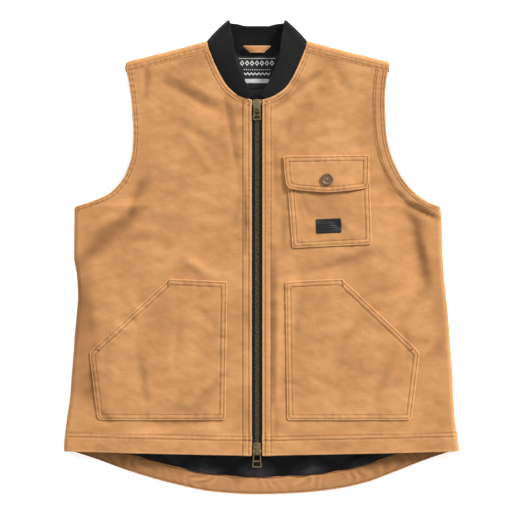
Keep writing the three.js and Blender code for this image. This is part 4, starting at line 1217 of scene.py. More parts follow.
def shrunk(outline: Array, distance: float) -> Array:
    """A convex outline, anticlockwise, with every edge moved in by a distance.

    Args:
        outline: Its corners.
        distance: How far each edge moves in.

    Returns:
        The smaller outline.
    """
    kept = outline
    for a, b in zip(outline, np.roll(outline, -1, axis=0)):
        run = (b - a) / np.linalg.norm(b - a)
        depth = (kept - a) @ np.array([-run[1], run[0]]) - distance
        out = []
        for here, after, d0, d1 in zip(kept, np.roll(kept, -1, axis=0), depth, np.roll(depth, -1)):
            if d0 >= 0:
                out.append(here)
            if (d0 >= 0) != (d1 >= 0):
                out.append(here + (after - here) * d0 / (d0 - d1))
        kept = np.array(out)
    return kept


# Shader maths


class Channel:
    """A shader socket that maths is written with."""

    def __init__(self, paint: Paint, socket: bpy.types.NodeSocket) -> None:
        """Wraps a socket of the given material."""
        self.paint = paint
        self.socket = socket

    def __add__(self, other: Channel | float) -> Channel:
        """Sum."""
        return self.paint.maths("ADD", self, other)

    __radd__ = __add__

    def __sub__(self, other: Channel | float) -> Channel:
        """Difference."""
        return self.paint.maths("SUBTRACT", self, other)

    def __rsub__(self, other: float) -> Channel:
        """Difference from a number."""
        return self.paint.maths("SUBTRACT", other, self)

    def __mul__(self, other: Channel | float) -> Channel:
        """Product."""
        return self.paint.maths("MULTIPLY", self, other)

    __rmul__ = __mul__

    def __truediv__(self, other: Channel | float) -> Channel:
        """Quotient."""
        return self.paint.maths("DIVIDE", self, other)

    def sine(self) -> Channel:
        """Sine of an angle in radians."""
        return self.paint.maths("SINE", self)

    def size(self) -> Channel:
        """The number without its sign."""
        return self.paint.maths("ABSOLUTE", self)

    def over(self, edge: float) -> Channel:
        """1 where the number is above an edge."""
        return self.paint.maths("GREATER_THAN", self, edge)

    def under(self, edge: Channel | float) -> Channel:
        """1 where the number is below an edge."""
        return self.paint.maths("LESS_THAN", self, edge)

    def whole(self) -> Channel:
        """The number rounded down."""
        return self.paint.maths("FLOOR", self)

    def held(self) -> Channel:
        """The number held between 0 and 1."""
        node = self.paint.node("ShaderNodeClamp", {}, {"Value": self})
        return Channel(self.paint, node.outputs[0])


class Paint:
    """A material under construction, with one way to add any node."""

    def __init__(self, name: str) -> None:
        """Starts a material with a Principled shader."""
        self.material = bpy.data.materials.new(name)
        self.material.use_nodes = True
        self.tree = self.material.node_tree
        self.shader = next(n for n in self.tree.nodes if n.type == "BSDF_PRINCIPLED")

    def node(
        self, kind: str, settings: dict[str, object], inputs: dict[str | int, object]
    ) -> bpy.types.ShaderNode:
        """Adds a node.

        Args:
            kind: The node's type.
            settings: Its own settings, or the stops of a ramp under the name stops.
            inputs: Values or channels, by the socket's name or number.

        Returns:
            The node.
        """
        node = self.tree.nodes.new(kind)
        for key, value in settings.items():
            if key == "stops":
                ramp = node.color_ramp
                while len(ramp.elements) < len(value):
                    ramp.elements.new(1)
                for element, (place, colour) in zip(ramp.elements, value):
                    element.position, element.color = place, colour
            else:
                setattr(node, key, value)
        for key, value in inputs.items():
            if isinstance(value, Channel):
                self.tree.links.new(value.socket, node.inputs[key])
            else:
                node.inputs[key].default_value = value
        return node

    def maths(self, operation: str, *values: Channel | float) -> Channel:
        """Adds a Math node."""
        node = self.node("ShaderNodeMath", {"operation": operation}, dict(enumerate(values)))
        return Channel(self, node.outputs[0])

    def place(self, stretch: tuple[float, float, float] = (1, 1, 1)) -> Channel:
        """Object coordinates, stretched.

        Args:
            stretch: The scale along each axis.

        Returns:
            The coordinates.
        """
        where = Channel(self, self.node("ShaderNodeTexCoord", {}, {}).outputs["Object"])
        node = self.node("ShaderNodeMapping", {}, {"Vector": where, "Scale": stretch})
        return Channel(self, node.outputs[0])

    def axes(self, along_cloth: bool = False) -> tuple[Channel, Channel, Channel]:
        """x, y and z of the object's coordinates, or of the cloth's own UV map.

        Args:
            along_cloth: Whether the UV map is read.

        Returns:
            x, y and z.
        """
        if along_cloth:
            source = self.node("ShaderNodeUVMap", {"uv_map": "UVMap"}, {}).outputs[0]
        else:
            source = self.node("ShaderNodeTexCoord", {}, {}).outputs["Object"]
        node = self.node("ShaderNodeSeparateXYZ", {}, {0: Channel(self, source)})
        return tuple(Channel(self, socket) for socket in node.outputs)

    def noise(
        self, scale: float, stretch: tuple[float, float, float] = (1, 1, 1), detail: float = 3.0
    ) -> Channel:
        """Seedless noise over the object's coordinates, centred on 0.5.

        Args:
            scale: Waves to the metre, roughly.
            stretch: The scale along each axis.
            detail: How many finer layers are added.

        Returns:
            The noise.
        """
        inputs = {"Vector": self.place(stretch), "Scale": scale, "Detail": detail, "Roughness": 0.6}
        return Channel(self, self.node("ShaderNodeTexNoise", {}, inputs).outputs[0])

    def blend(
        self, share: Channel | float, low: Channel | Sequence[float], high: Channel | Sequence[float]
    ) -> Channel:
        """A colour between two."""
        node = self.node("ShaderNodeMix", {"data_type": "RGBA"}, {0: share, 6: low, 7: high})
        return Channel(self, node.outputs[2])

    def attribute(self, name: str) -> Channel:
        """A number stored on the mesh's points."""
        node = self.node("ShaderNodeAttribute", {"attribute_name": name}, {})
        return Channel(self, node.outputs["Fac"])

    def bump(
        self, height: Channel, depth: float, strength: float = 1.0, after: Channel | None = None
    ) -> Channel:
        """A normal from a height that runs from 0 to 1 over a depth in metres.

        Args:
            height: The height, from 0 to 1.
            depth: What 1 stands for, in metres.
            strength: How strongly it shows.
            after: A normal that it is added to.

        Returns:
            The normal.
        """
        inputs: dict[str | int, object] = {"Height": height, "Distance": depth, "Strength": strength}
        if after is not None:
            inputs["Normal"] = after
        return Channel(self, self.node("ShaderNodeBump", {}, inputs).outputs[0])

    def finish(self, **sockets: object) -> Material:
        """Sets the shader's sockets, whose names use _ for a space, and returns the material."""
        for key, value in sockets.items():
            name = key.replace("_", " ")
            socket = self.shader.inputs[name]
            if isinstance(value, Channel):
                self.tree.links.new(value.socket, socket)
            else:
                socket.default_value = value
        return self.material


def linear(red: int, green: int, blue: int) -> tuple[float, float, float, float]:
    """A colour as the eye reads it on a screen, 0 to 255, as the shader wants it."""
    parts = [v / 255 for v in (red, green, blue)]
    return (*[v / 12.92 if v <= 0.04045 else ((v + 0.055) / 1.055) ** 2.4 for v in parts], 1.0)


# Finishes


@dataclass(frozen=True)
class CottonDuck:
    """Tan cotton duck: a close plain weave with slubs, paler where it is rubbed and where ridges carry
    painted light, and darker where painted shade lies in valleys, grooves and broad zones.
    """

    deep: tuple[int, int, int] = (181, 125, 75)
    main: tuple[int, int, int] = (208, 151, 95)
    # The pale colour below is for worn edges and for painted highlight on ridges; the darkest is painted
    # shade for valleys, stitch grooves and the broad shaded zones.
    rubbed: tuple[int, int, int] = (225, 171, 116)
    soiled: tuple[int, int, int] = (136, 90, 52)
    yarn: float = 0.85 * MM

    def make(self) -> Material:
        """Builds the material."""
        paint = Paint("cotton_duck")
        x, y, _ = paint.axes()
        turn = math.tau / self.yarn
        slub_up = paint.noise(900, (1, 0.07, 1), 2)
        slub_across = paint.noise(800, (0.06, 1, 1), 2)
        warp, weft = (x * turn).sine(), (y * turn * 0.86).sine()
        weave = warp * weft * 0.35 + slub_up * 0.45 + slub_across * 0.6
        mottle = paint.noise(22, (0.8, 1, 1), 6)
        fleck = paint.noise(420, (1, 0.35, 1), 2)
        tone = (mottle * 0.9 + slub_up * 0.35 + slub_across * 0.7 + fleck * 0.4 - 0.62).held()
        # The stored tone pales the cloth for wear and painted highlight, and darkens it with painted shade.
        wear = paint.attribute("wear")
        colour = paint.blend(tone, linear(*self.deep), linear(*self.main))
        colour = paint.blend((wear * (0.4 + fleck * 0.9)).held(), colour, linear(*self.rubbed))
        colour = paint.blend((wear * -1).held(), colour, linear(*self.soiled))
        normal = paint.bump(weave, 0.16 * MM, 0.7)
        normal = paint.bump(paint.noise(120, (0.55, 1, 1), 4), 0.6 * MM, 0.8, normal)
        return paint.finish(
            Base_Color=colour, Roughness=0.82 + (1 - slub_up) * 0.12, Normal=normal,
            Sheen_Weight=0.12, Sheen_Roughness=0.6, Specular_IOR_Level=0.25,
        )


@dataclass(frozen=True)
class QuiltedSatin:
    """Black lining satin with a soft gloss and fine crinkles; its colour holds painted sheen on the crinkles
    and painted shade along the quilting lines.
    """

    shadow: tuple[int, int, int] = (4, 4, 5)
    light: tuple[int, int, int] = (58, 56, 60)

    def make(self) -> Material:
        """Builds the material."""
        paint = Paint("quilted_satin")
        crinkle = paint.noise(60, (0.6, 1, 1), 5)
        thread = paint.noise(1400, (1, 0.1, 1), 1)
        # Painted light: the colour is pale where the crinkles catch a painted sheen, and near black along the
        # quilting lines as painted shade.
        puff = paint.attribute("wear")
        tone = ((crinkle * 3.2 + thread * 0.3 - 1.2) * (puff * puff)).held()
        colour = paint.blend(tone, linear(*self.shadow), linear(*self.light))
        normal = paint.bump(paint.noise(24, (0.7, 1, 1), 2), 7 * MM, 0.8)
        normal = paint.bump(crinkle, 3.4 * MM, 0.9, normal)
        normal = paint.bump(thread, 0.08 * MM, 0.5, normal)
        return paint.finish(
            Base_Color=colour, Roughness=0.24 + crinkle * 0.2, Normal=normal, Specular_IOR_Level=0.22
        )


@dataclass(frozen=True)
class RibKnit:
    """Black rib knit: columns of small loops along each rib."""

    shadow: tuple[int, int, int] = (11, 11, 11)
    light: tuple[int, int, int] = (26, 26, 25)
    rib: float = 2.4 * MM
    loop: float = 1.6 * MM

    def make(self) -> Material:
        """Builds the material."""
        paint = Paint("rib_knit")
        u, v, _ = paint.axes(along_cloth=True)
        ridge = (u * (math.tau / self.rib)).sine()
        loops = (v * (math.tau / self.loop) + ridge.size() * 2.6).sine()
        fuzz = paint.noise(1100, (1, 1, 1), 2)
        height = ridge * 0.3 + loops * 0.22 + fuzz * 0.35 + 0.3
        # Painted shade: the colour is darker in the ribs' and loops' hollows and lighter on their tops, with
        # random fuzz.
        colour = paint.blend((height * 0.7).held(), linear(*self.shadow), linear(*self.light))
        normal = paint.bump(height, 0.3 * MM, 0.8)
        return paint.finish(
            Base_Color=colour, Roughness=0.9 + fuzz * 0.08, Normal=normal,
            Sheen_Weight=0.2, Specular_IOR_Level=0.2,
        )


@dataclass(frozen=True)
class WovenTape:
    """Black herringbone zip tape."""

    dark: tuple[int, int, int] = (12, 12, 13)
    light: tuple[int, int, int] = (32, 31, 32)
    rib: float = 1.1 * MM

    def make(self) -> Material:
        """Builds the material."""
        paint = Paint("woven_tape")
        x, y, _ = paint.axes()
        zigzag = ((x * (math.tau / (4 * self.rib))).sine().size() * 2.2 + y * (math.tau / self.rib)).sine()
        fuzz = paint.noise(900, (1, 1, 1), 2)
        height = zigzag * 0.35 + fuzz * 0.4 + 0.3
        # Painted shade: the colour is darker in the weave's hollows and lighter on its tops, with random
        # fuzz.
        colour = paint.blend((height * 0.7).held(), linear(*self.dark), linear(*self.light))
        return paint.finish(
            Base_Color=colour, Roughness=0.78 + fuzz * 0.12,
            Normal=paint.bump(height, 0.16 * MM, 0.8), Specular_IOR_Level=0.3,
        )


@dataclass(frozen=True)
class AgedBrass:
    """Zip metal: brass with a patina in random patches, dark and rougher, and bright and smoother between
    them.
    """

    dark: tuple[int, int, int] = (58, 47, 32)
    bright: tuple[int, int, int] = (214, 186, 136)

    def make(self) -> Material:
        """Builds the material."""
        paint = Paint("aged_brass")
        patina = paint.noise(300, (1, 1, 1), 3)
        scratch = paint.noise(1500, (1, 0.08, 1), 2)
        tone = (patina * 1.5 + scratch * 0.5 - 0.5).held()
        colour = paint.blend(tone, linear(*self.dark), linear(*self.bright))
        return paint.finish(
            Base_Color=colour, Metallic=1.0, Roughness=0.52 - tone * 0.24,
            Normal=paint.bump(scratch, 0.05 * MM, 0.5),
        )


@dataclass(frozen=True)
class PlainStuff:
    """A small trim's finish: two tones, a grain and a roughness."""

    name: str
    dark: tuple[int, int, int]
    light: tuple[int, int, int]
    roughness: float
    grain: float = 300
    stretch: tuple[float, float, float] = (1, 1, 1)
    depth: float = 0.08 * MM

    def make(self) -> Material:
        """Builds the material."""
        paint = Paint(self.name)
        grain = paint.noise(self.grain, self.stretch, 4)
        colour = paint.blend((grain * 1.6 - 0.3).held(), linear(*self.dark), linear(*self.light))
        return paint.finish(
            Base_Color=colour, Roughness=self.roughness + grain * 0.1,
            Normal=paint.bump(grain, self.depth, 0.6),
        )


@dataclass(frozen=True)
class PrintedLabel:
    """A black woven label with a plain white pattern: rules, a row of lozenges, a row of dots and a bar."""

    ground: tuple[int, int, int] = (14, 14, 15)
    print: tuple[int, int, int] = (226, 226, 222)

    def make(self) -> Material:
        """Builds the material."""
        paint = Paint("printed_label")
        u, v, _ = paint.axes(along_cloth=True)

        def stripe(centre: float, half: float) -> Channel:
            """1 within a half height of a level, in millimetres."""
            return (v - centre * MM).size().under(half * MM)

        def within(half: float) -> Channel:
            """1 within a half width of the middle, in millimetres."""
            return u.size().under(half * MM)

        def repeated(pitch: float) -> Channel:
            """Distance to the nearest of a row of points, in metres."""
            return ((u / (pitch * MM) + 0.5) - (u / (pitch * MM) + 0.5).whole() - 0.5).size() * (pitch * MM)

        lozenge = (repeated(8) * 1.25 + (v - 14.5 * MM).size()).under(4.6 * MM) * within(27.9)
        hollow = (repeated(8) * 1.25 + (v - 14.5 * MM).size()).over(2.2 * MM)
        dots = (repeated(3.4) + (v - 4 * MM).size()).under(1.05 * MM) * within(22)
        chevron = ((v + 4.2 * MM - repeated(6)).size()).under(1.15 * MM) * within(20.9)
        bars = stripe(22, 0.45) * within(29) + stripe(-14.2, 3.4) * within(19.5)
        ink = (lozenge * hollow + dots + chevron + bars).held()
        worn = (paint.noise(900, (1, 1, 1), 3) * 1.4).held()
        weave = paint.noise(1200, (1, 0.3, 1), 2)
        colour = paint.blend(ink * (0.55 + worn * 0.45), linear(*self.ground), linear(*self.print))
        return paint.finish(
            Base_Color=colour, Roughness=0.62 + weave * 0.2,
            Normal=paint.bump(weave + ink * 0.3, 0.1 * MM, 0.6),
        )


@dataclass(frozen=True)
class Finishes:
    """Every finish of the vest, made once."""

    canvas: Material
    satin: Material
    rib: Material
    tape: Material
    brass: Material
    thread: Material
    button: Material
    patch: Material
    label: Material

    @classmethod
    def make(cls) -> Finishes:
        """Builds every material."""
        return cls(
            canvas=CottonDuck().make(),
            satin=QuiltedSatin().make(),
            rib=RibKnit().make(),
            tape=WovenTape().make(),
            brass=AgedBrass().make(),
            thread=PlainStuff("tan_thread", (148, 103, 61), (188, 137, 85), 0.6, 900).make(),
            button=PlainStuff("horn_button", (84, 58, 38), (140, 108, 80), 0.35, 160, (1, 0.3, 1)).make(),
            patch=PlainStuff("black_patch", (9, 10, 12), (22, 23, 26), 0.42, 500).make(),
            label=PrintedLabel().make(),
        )


# Sub-assemblies

EDGES = ("hem", "zip_edge", "neck_edge", "armhole")


@dataclass
class Fronts:
    """The two canvas fronts with their turned and stitched edges."""

    garment: Garment
    step: float = 3.4 * MM
    fine: float = 0.9 * MM
    hem: Band = Band(0.031, 0.6 * MM, (0.0235, 0.030), pucker=0.35 * MM)
    zip_edge: Band = Band(0.0145, 0.5 * MM, (0.004, 0.0135), pucker=0.2 * MM)
    neck_edge: Band = Band(0.009, 0.5 * MM, (0.004, 0.008), pucker=0.3 * MM)
    armhole: Band = Band(0.0075, 0.5 * MM, (0.0025, 0.0065), pucker=0.35 * MM)
    faced_armhole: Band = Band(0.0195, 0.4 * MM, (0.0025, 0.0065, 0.0155, 0.0185), 0.12 * MM, 0.15 * MM)
    lift: float = 0.22 * MM
    flat_measured_at: float = 0.2
    flat_turned: float = 0.02
    edges: dict[tuple[Side, str], Array] = field(default_factory=dict)

    def band(self, side: Side, name: str) -> Band:
        """The turned edge of one front; the chest pocket's side has a faced armhole.

        Args:
            side: Which half of the vest.
            name: The edge's name.

        Returns:
            The turned edge.
        """
        if name == "armhole" and side is Side.LEFT:
            return self.faced_armhole
        return getattr(self, name)

    def edge(self, side: Side, name: str) -> Array:
        """A finished edge of one front, drawn from above and kept once made.

        Args:
            side: Which half of the vest.
            name: The edge's name.

        Returns:
            The edge's points, x and y.
        """
        if (side, name) in self.edges:
            return self.edges[side, name]
        g = self.garment
        rows = np.linspace(0, SEAM_ROW, 240)
        inner, outer = g.length * g.at_row("inner", rows), g.length * g.at_row("y", rows)
        if name == "hem":
            across = np.linspace(g.tape_shown, g.half(side, outer[0]), 40)
            share = (across - across[0]) / (across[-1] - across[0])
            path = np.stack([side.value * across, inner[0] + (outer[0] - inner[0]) * share], 1)
        elif name == "zip_edge":
            below = inner <= g.length * OUTLINE[NECK_ROW].inner + 1e-9
            path = np.stack([np.full(below.sum(), side.value * g.tape_shown), inner[below]], 1)
        elif name == "neck_edge":
            y = np.linspace(g.length * OUTLINE[NECK_ROW].inner, inner[-1], 80)
            path = np.stack([side.value * g.neck_half(y), y], 1)
        else:
            y = outer[rows >= ARMHOLE_ROW]
            path = np.stack([side.value * g.half(side, y), y], 1)
        self.edges[side, name] = path
        return path

    def relief(self, side: Side, x: Array, y: Array) -> Array:
        """What the turned edges add to one front's height.

        Args:
            side: Which half of the vest.
            x: Distances from the zip.
            y: Distances from the tail.

        Returns:
            The added height at each point.
        """
        total = np.zeros(np.shape(x))
        for name in EDGES:
            distance, along = near_path(x, y, self.edge(side, name))
            total = total + self.band(side, name).relief(distance, along)
        return total

    def wear(self, side: Side, x: Array, y: Array) -> Array:
        """How pale the canvas is: above 0 where it is rubbed and where ridges and stitch edges carry painted
        highlight, below 0 where painted shade lies in grooves, valleys and broad zones.

        Args:
            side: Which half of the vest.
            x: Distances from the zip.
            y: Distances from the tail.

        Returns:
            The tone at each point.
        """
        total = self.garment.rubbed(x, y)
        for name in EDGES:
            distance, _ = near_path(x, y, self.edge(side, name))
            total = total + self.band(side, name).tone(distance)
        return total

    def height(self, side: Side, x: Array, y: Array) -> Array:
        """Height of the finished outer face over the table."""
        return self.garment.top(x, y) + self.relief(side, x, y)

    def stitch_lines(self, side: Side) -> list[Array]:
        """The lines that one front's stitches follow, in the frame.

        Args:
            side: Which half of the vest.

        Returns:
            Each line's points.
        """
        g = self.garment
        middle = np.array([side.value * 0.5 * g.chest_half, 0.5 * g.length])
        lines = []
        for name in EDGES:
            for distance in self.band(side, name).stitches:
                path = dense(beside(self.edge(side, name), distance, middle), 3 * MM)
                away = np.abs(path[:, 0])
                flat = away < g.flat_half(side, path[:, 1]) if name == "hem" else away > 0
                path = path[flat & (path[:, 1] > g.length * OUTLINE[HEM_ROW].inner + 2 * MM)]
                z = self.height(side, path[:, 0], path[:, 1]) + self.lift
                lines.append(g.place(path[:, 0], path[:, 1], z))
        return lines

    def build(self, finishes: Finishes) -> None:
        """Makes both fronts.

        Args:
            finishes: Every finish.
        """
        g = self.garment
        for side in Side:
            points, normals = g.front(side, self.step, self.fine, 16)
            rows, columns, _ = points.shape
            x, y = points[..., 0], points[..., 1]
            relief = self.relief(side, x, y)
            placed = g.place(x, y, points[..., 2])
            cloth = Cloth(
                placed.reshape(-1, 3), normals.reshape(-1, 3), grid_faces(rows, columns),
                wear=self.wear(side, x, y).ravel(),
            )
            name = f"front_{side.word}"
            mesh = cloth.mesh(name, relief.ravel(), -g.canvas)
            piece = add_piece(name, mesh, finishes.canvas, [f"front_panel_{side.word}"])
            width = float(g.half(side, np.array(self.flat_measured_at))) + self.flat_turned


@dataclass
class Back:
    """The canvas back with its dropped tail, and the facing inside the tail's edge."""

    garment: Garment
    step: float = 4.5 * MM
    fine: float = 1.0 * MM
    facing_step: float = 2.0 * MM
    shoulder: Band = Band(0.010, 0.5 * MM, (0.0015, 0.0075), pucker=0.2 * MM)
    gather_length: float = 0.019
    gather: float = 1.9 * MM
    facing_stitches: tuple[float, float] = (0.0025, 0.0265)

    def kept(self, flat_rows: int, inside_neck: Array) -> Callable[[int, int], bool]:
        """The quads that are cloth: all but those between the neck's corners above the back neck."""
        return lambda i, j: i < flat_rows - 1 or not (inside_neck[j] and inside_neck[j + 1])

    def build(self, finishes: Finishes) -> None:
        """Makes the back panel and the facing.

        Args:
            finishes: Every finish.
        """
        g = self.garment
        points, normals, flat_rows, inside_neck = g.back(self.step, self.fine, 0)
        x, y, z = (points[..., k] for k in range(3))
        under = 0.45 * MM * (1 + Ripple(0.06, 0.5, 21).at(x, y)).clip(0, 2) * (z < 1e-6)
        over = self.over_shoulder(x, y) * (normals[..., 2] > 0)
        cloth = Cloth(
            g.place(x, y, z).reshape(-1, 3), normals.reshape(-1, 3),
            grid_faces(*z.shape, self.kept(flat_rows, inside_neck)), wear=np.zeros(z.size),
        )
        mesh = cloth.mesh("back_canvas", (over - under).ravel(), -g.canvas)
        piece = add_piece("back_canvas", mesh, finishes.canvas, ["back_panel"])
        self.facing(finishes)

    def seam_y(self, x: Array) -> Array:
        """Height on the table of the forward shoulder seam."""
        g, row = self.garment, OUTLINE[SEAM_ROW]
        return np.where(x > 0, g.along_shoulder(Side.LEFT, x, row), g.along_shoulder(Side.RIGHT, x, row))

    def over_shoulder(self, x: Array, y: Array) -> Array:
        """What stitches and wrinkles add to the cloth that lies over the shoulder.

        Args:
            x: Distances from the zip.
            y: Distances from the tail.

        Returns:
            The added height at each point.
        """
        distance = np.maximum(y - self.seam_y(x), 0)
        wrinkles = Ripple(0.03, 0.28 * MM, 23, 0.6).at(x, y) * ease(distance, 0, 8 * MM)
        return self.shoulder.relief(distance, np.abs(x)) + wrinkles

    def band(self, share: Array, rise: Array) -> tuple[Array, Array, Array]:
        """x, y and height of the tail's facing, by share of the width and rise from the edge.

        Args:
            share: Shares of the half width.
            rise: Distances in from the tail's edge.

        Returns:
            x, y and height, a row for each rise.
        """
        g = self.garment
        at = np.array(0.075)
        half = np.where(share < 0, g.flat_half(Side.RIGHT, at), g.flat_half(Side.LEFT, at))
        x = np.broadcast_to(share * half, (len(rise), len(share)))
        drift = 1.3 * MM * Ripple(0.035, 1, 35).at(x[0], x[0] * 0)
        y = g.tail(share)[None, :] + rise[:, None] + drift * np.clip(rise / g.hem_band, 0, 1)[:, None]
        middle = np.sin(math.pi * np.clip(rise / g.hem_band, 0, 1))[:, None]
        wobble = Ripple(0.06, 2.4, 31).at(x, 2 * y)
        depth = 0.5 + 0.5 * Ripple(0.1, 1, 33).at(x, y * 0)
        gathers = np.sin(math.tau * x / self.gather_length + wobble) * depth
        return x, y, g.canvas + g.gap + self.gather * middle * (1 + gathers) / 2

    def stitch_lines(self, side: Side) -> list[Array]:
        """The lines of stitches over one shoulder and along the tail, in the frame.

        Args:
            side: Which half of the vest.

        Returns:
            Each line's points.
        """
        g = self.garment
        x = side.value * np.linspace(g.neck_corner() + 2 * MM, g.chest_half * 0.705, 60)
        lines = []
        for distance in self.shoulder.stitches:
            y = self.seam_y(x) + distance
            z = 2 * g.turn_radius + self.over_shoulder(x, y) + 0.12 * MM
            lines.append(g.place(x, y, z))
        share = side.value * np.linspace(0, 0.97, 160)
        x, y, z = self.band(share, np.array(self.facing_stitches))
        lines += [g.place(x[k], y[k], z[k] + g.canvas - 0.3 * MM) for k in range(2)]
        return lines

    def facing(self, finishes: Finishes) -> None:
        """Makes the gathered band along the tail.

        Args:
            finishes: Every finish.
        """
        g = self.garment
        rise = np.linspace(0.4 * MM, g.hem_band, 30)
        share = np.linspace(-1, 1, round(2 * g.chest_half / self.facing_step))
        x, y, z = self.band(share, rise)
        stitched = sum(
            0.6 * MM * np.exp(-(((rise - line) / (1.3 * MM)) ** 2)) for line in self.facing_stitches
        )
        # Tone of the tail band: paler at its rim from wear, painted shade in the stitch grooves and the
        # gathers' valleys with painted highlight on their tops, and darker overall and towards the ends.
        edge_wear_and_groove_shade = Band(g.hem_band, 0, self.facing_stitches).tone(rise)[:, None]
        painted_gather_shade = 0.4 * (z - z.mean()) / self.gather - 0.22 - 0.42 * share[None, :] ** 2
        cloth = facing_up(g.place(x, y, z), grid_faces(*z.shape), edge_wear_and_groove_shade + painted_gather_shade)
        above = np.broadcast_to((g.canvas - stitched)[:, None], z.shape)
        mesh = cloth.mesh("tail_band", above.ravel(), 0)
        piece = add_piece("tail_band", mesh, finishes.canvas, ["tail_facing"])


@dataclass
class Linings:
    """The quilted satin behind the fronts and over the back."""

    garment: Garment
    back: Back
    step: float = 4.4 * MM
    front_step: float = 7 * MM
    diamond: tuple[float, float] = (0.086, 0.076)
    puff: float = 3.0 * MM
    front_puff: float = 0.5
    stitched_down: float = 0.75
    tuck: float = 8 * MM

    def fullness(self, x: Array, y: Array) -> Array:
        """0 along the stitched lines, 1 in the middle of a diamond.

        Args:
            x: Distances from the zip.
            y: Distances from the tail.

        Returns:
            A share from 0 to 1 at each point.
        """
        a = math.pi * (x / self.diamond[0] + y / self.diamond[1])
        b = math.pi * (x / self.diamond[0] - y / self.diamond[1])
        return np.abs(np.sin(a) * np.sin(b)) ** 0.55

    def quilting(self, x: Array, y: Array) -> Array:
        """Height of the padding.

        Args:
            x: Distances from the zip.
            y: Distances from the tail.

        Returns:
            The height at each point.
        """
        swell = self.fullness(x, y)
        creases = Ripple(0.030, 0.45, 41, 0.6).at(x, y) + Ripple(0.013, 0.2, 43).at(x, y)
        return self.puff * swell * (1 + 0.6 * creases)

    def inside(self, x: Array, y: Array) -> Array:
        """Height over the table of the back lining's inner face."""
        g = self.garment
        return g.canvas + g.gap + self.stitched_down * g.lining + self.quilting(x, y)

    def build(self, finishes: Finishes) -> None:
        """Makes the three linings.

        Args:
            finishes: Every finish.
        """
        g = self.garment
        under = -(g.canvas + g.gap)
        points, normals, flat_rows, inside_neck = g.back(self.step, self.step, g.hem_band + g.gap)
        x, y = points[..., 0], points[..., 1]
        quilted = under - g.lining * self.stitched_down - self.quilting(x, y)
        # The satin reads the quilting's fullness as a tone and paints shade along the quilting lines with it.
        cloth = Cloth(
            g.place(x, y, points[..., 2]).reshape(-1, 3), normals.reshape(-1, 3),
            grid_faces(*x.shape, self.back.kept(flat_rows, inside_neck)), wear=self.fullness(x, y).ravel(),
        )
        mesh = cloth.mesh("back_lining", under, quilted.ravel())
        piece = add_piece("back_lining", mesh, finishes.satin, ["lining_back"])
        for side in Side:
            points, normals = g.front(side, self.front_step, self.front_step, start_in=self.tuck)
            keep_from = int(np.searchsorted(points[:, 0, 1], g.length * OUTLINE[BAND_ROW].inner))
            points, normals = points[keep_from:], normals[keep_from:]
            x, y = points[..., 0], points[..., 1]
            quilted = under - g.lining * self.stitched_down - self.front_puff * self.quilting(x, y)
            # The satin reads the quilting's fullness as a tone and paints shade along the quilting lines with
            # it.
            cloth = Cloth(
                g.place(x, y, points[..., 2]).reshape(-1, 3), normals.reshape(-1, 3), grid_faces(*x.shape),
                wear=self.fullness(x, y).ravel(),
            )
            mesh = cloth.mesh(f"front_lining_{side.word}", under, quilted.ravel())
            piece = add_piece(
                f"front_lining_{side.word}", mesh, finishes.satin, [f"lining_front_{side.word}"]
            )


@dataclass(frozen=True)
class Station:
    """One place round the collar's front: its seam's height, and its free edge in the outline's shares.

    stand is how far the free edge rises above the seam, as a share of the collar's stand.
    """

    seam: float
    half: float
    y: float
    stand: float


STATIONS = (
    Station(0.834, 0.03, 0.842, 0.36),
    Station(0.843, 0.045, 0.855, 0.55),
    Station(0.858, 0.075, 0.876, 0.73),
    Station(0.88, 0.108, 0.904, 0.91),
    Station(0.908, 0.127, 0.934, 1),
    Station(0.928, 0.137, 0.962, 0.82),
    Station(0.945, 0.149, 0.985, 0.45),
)


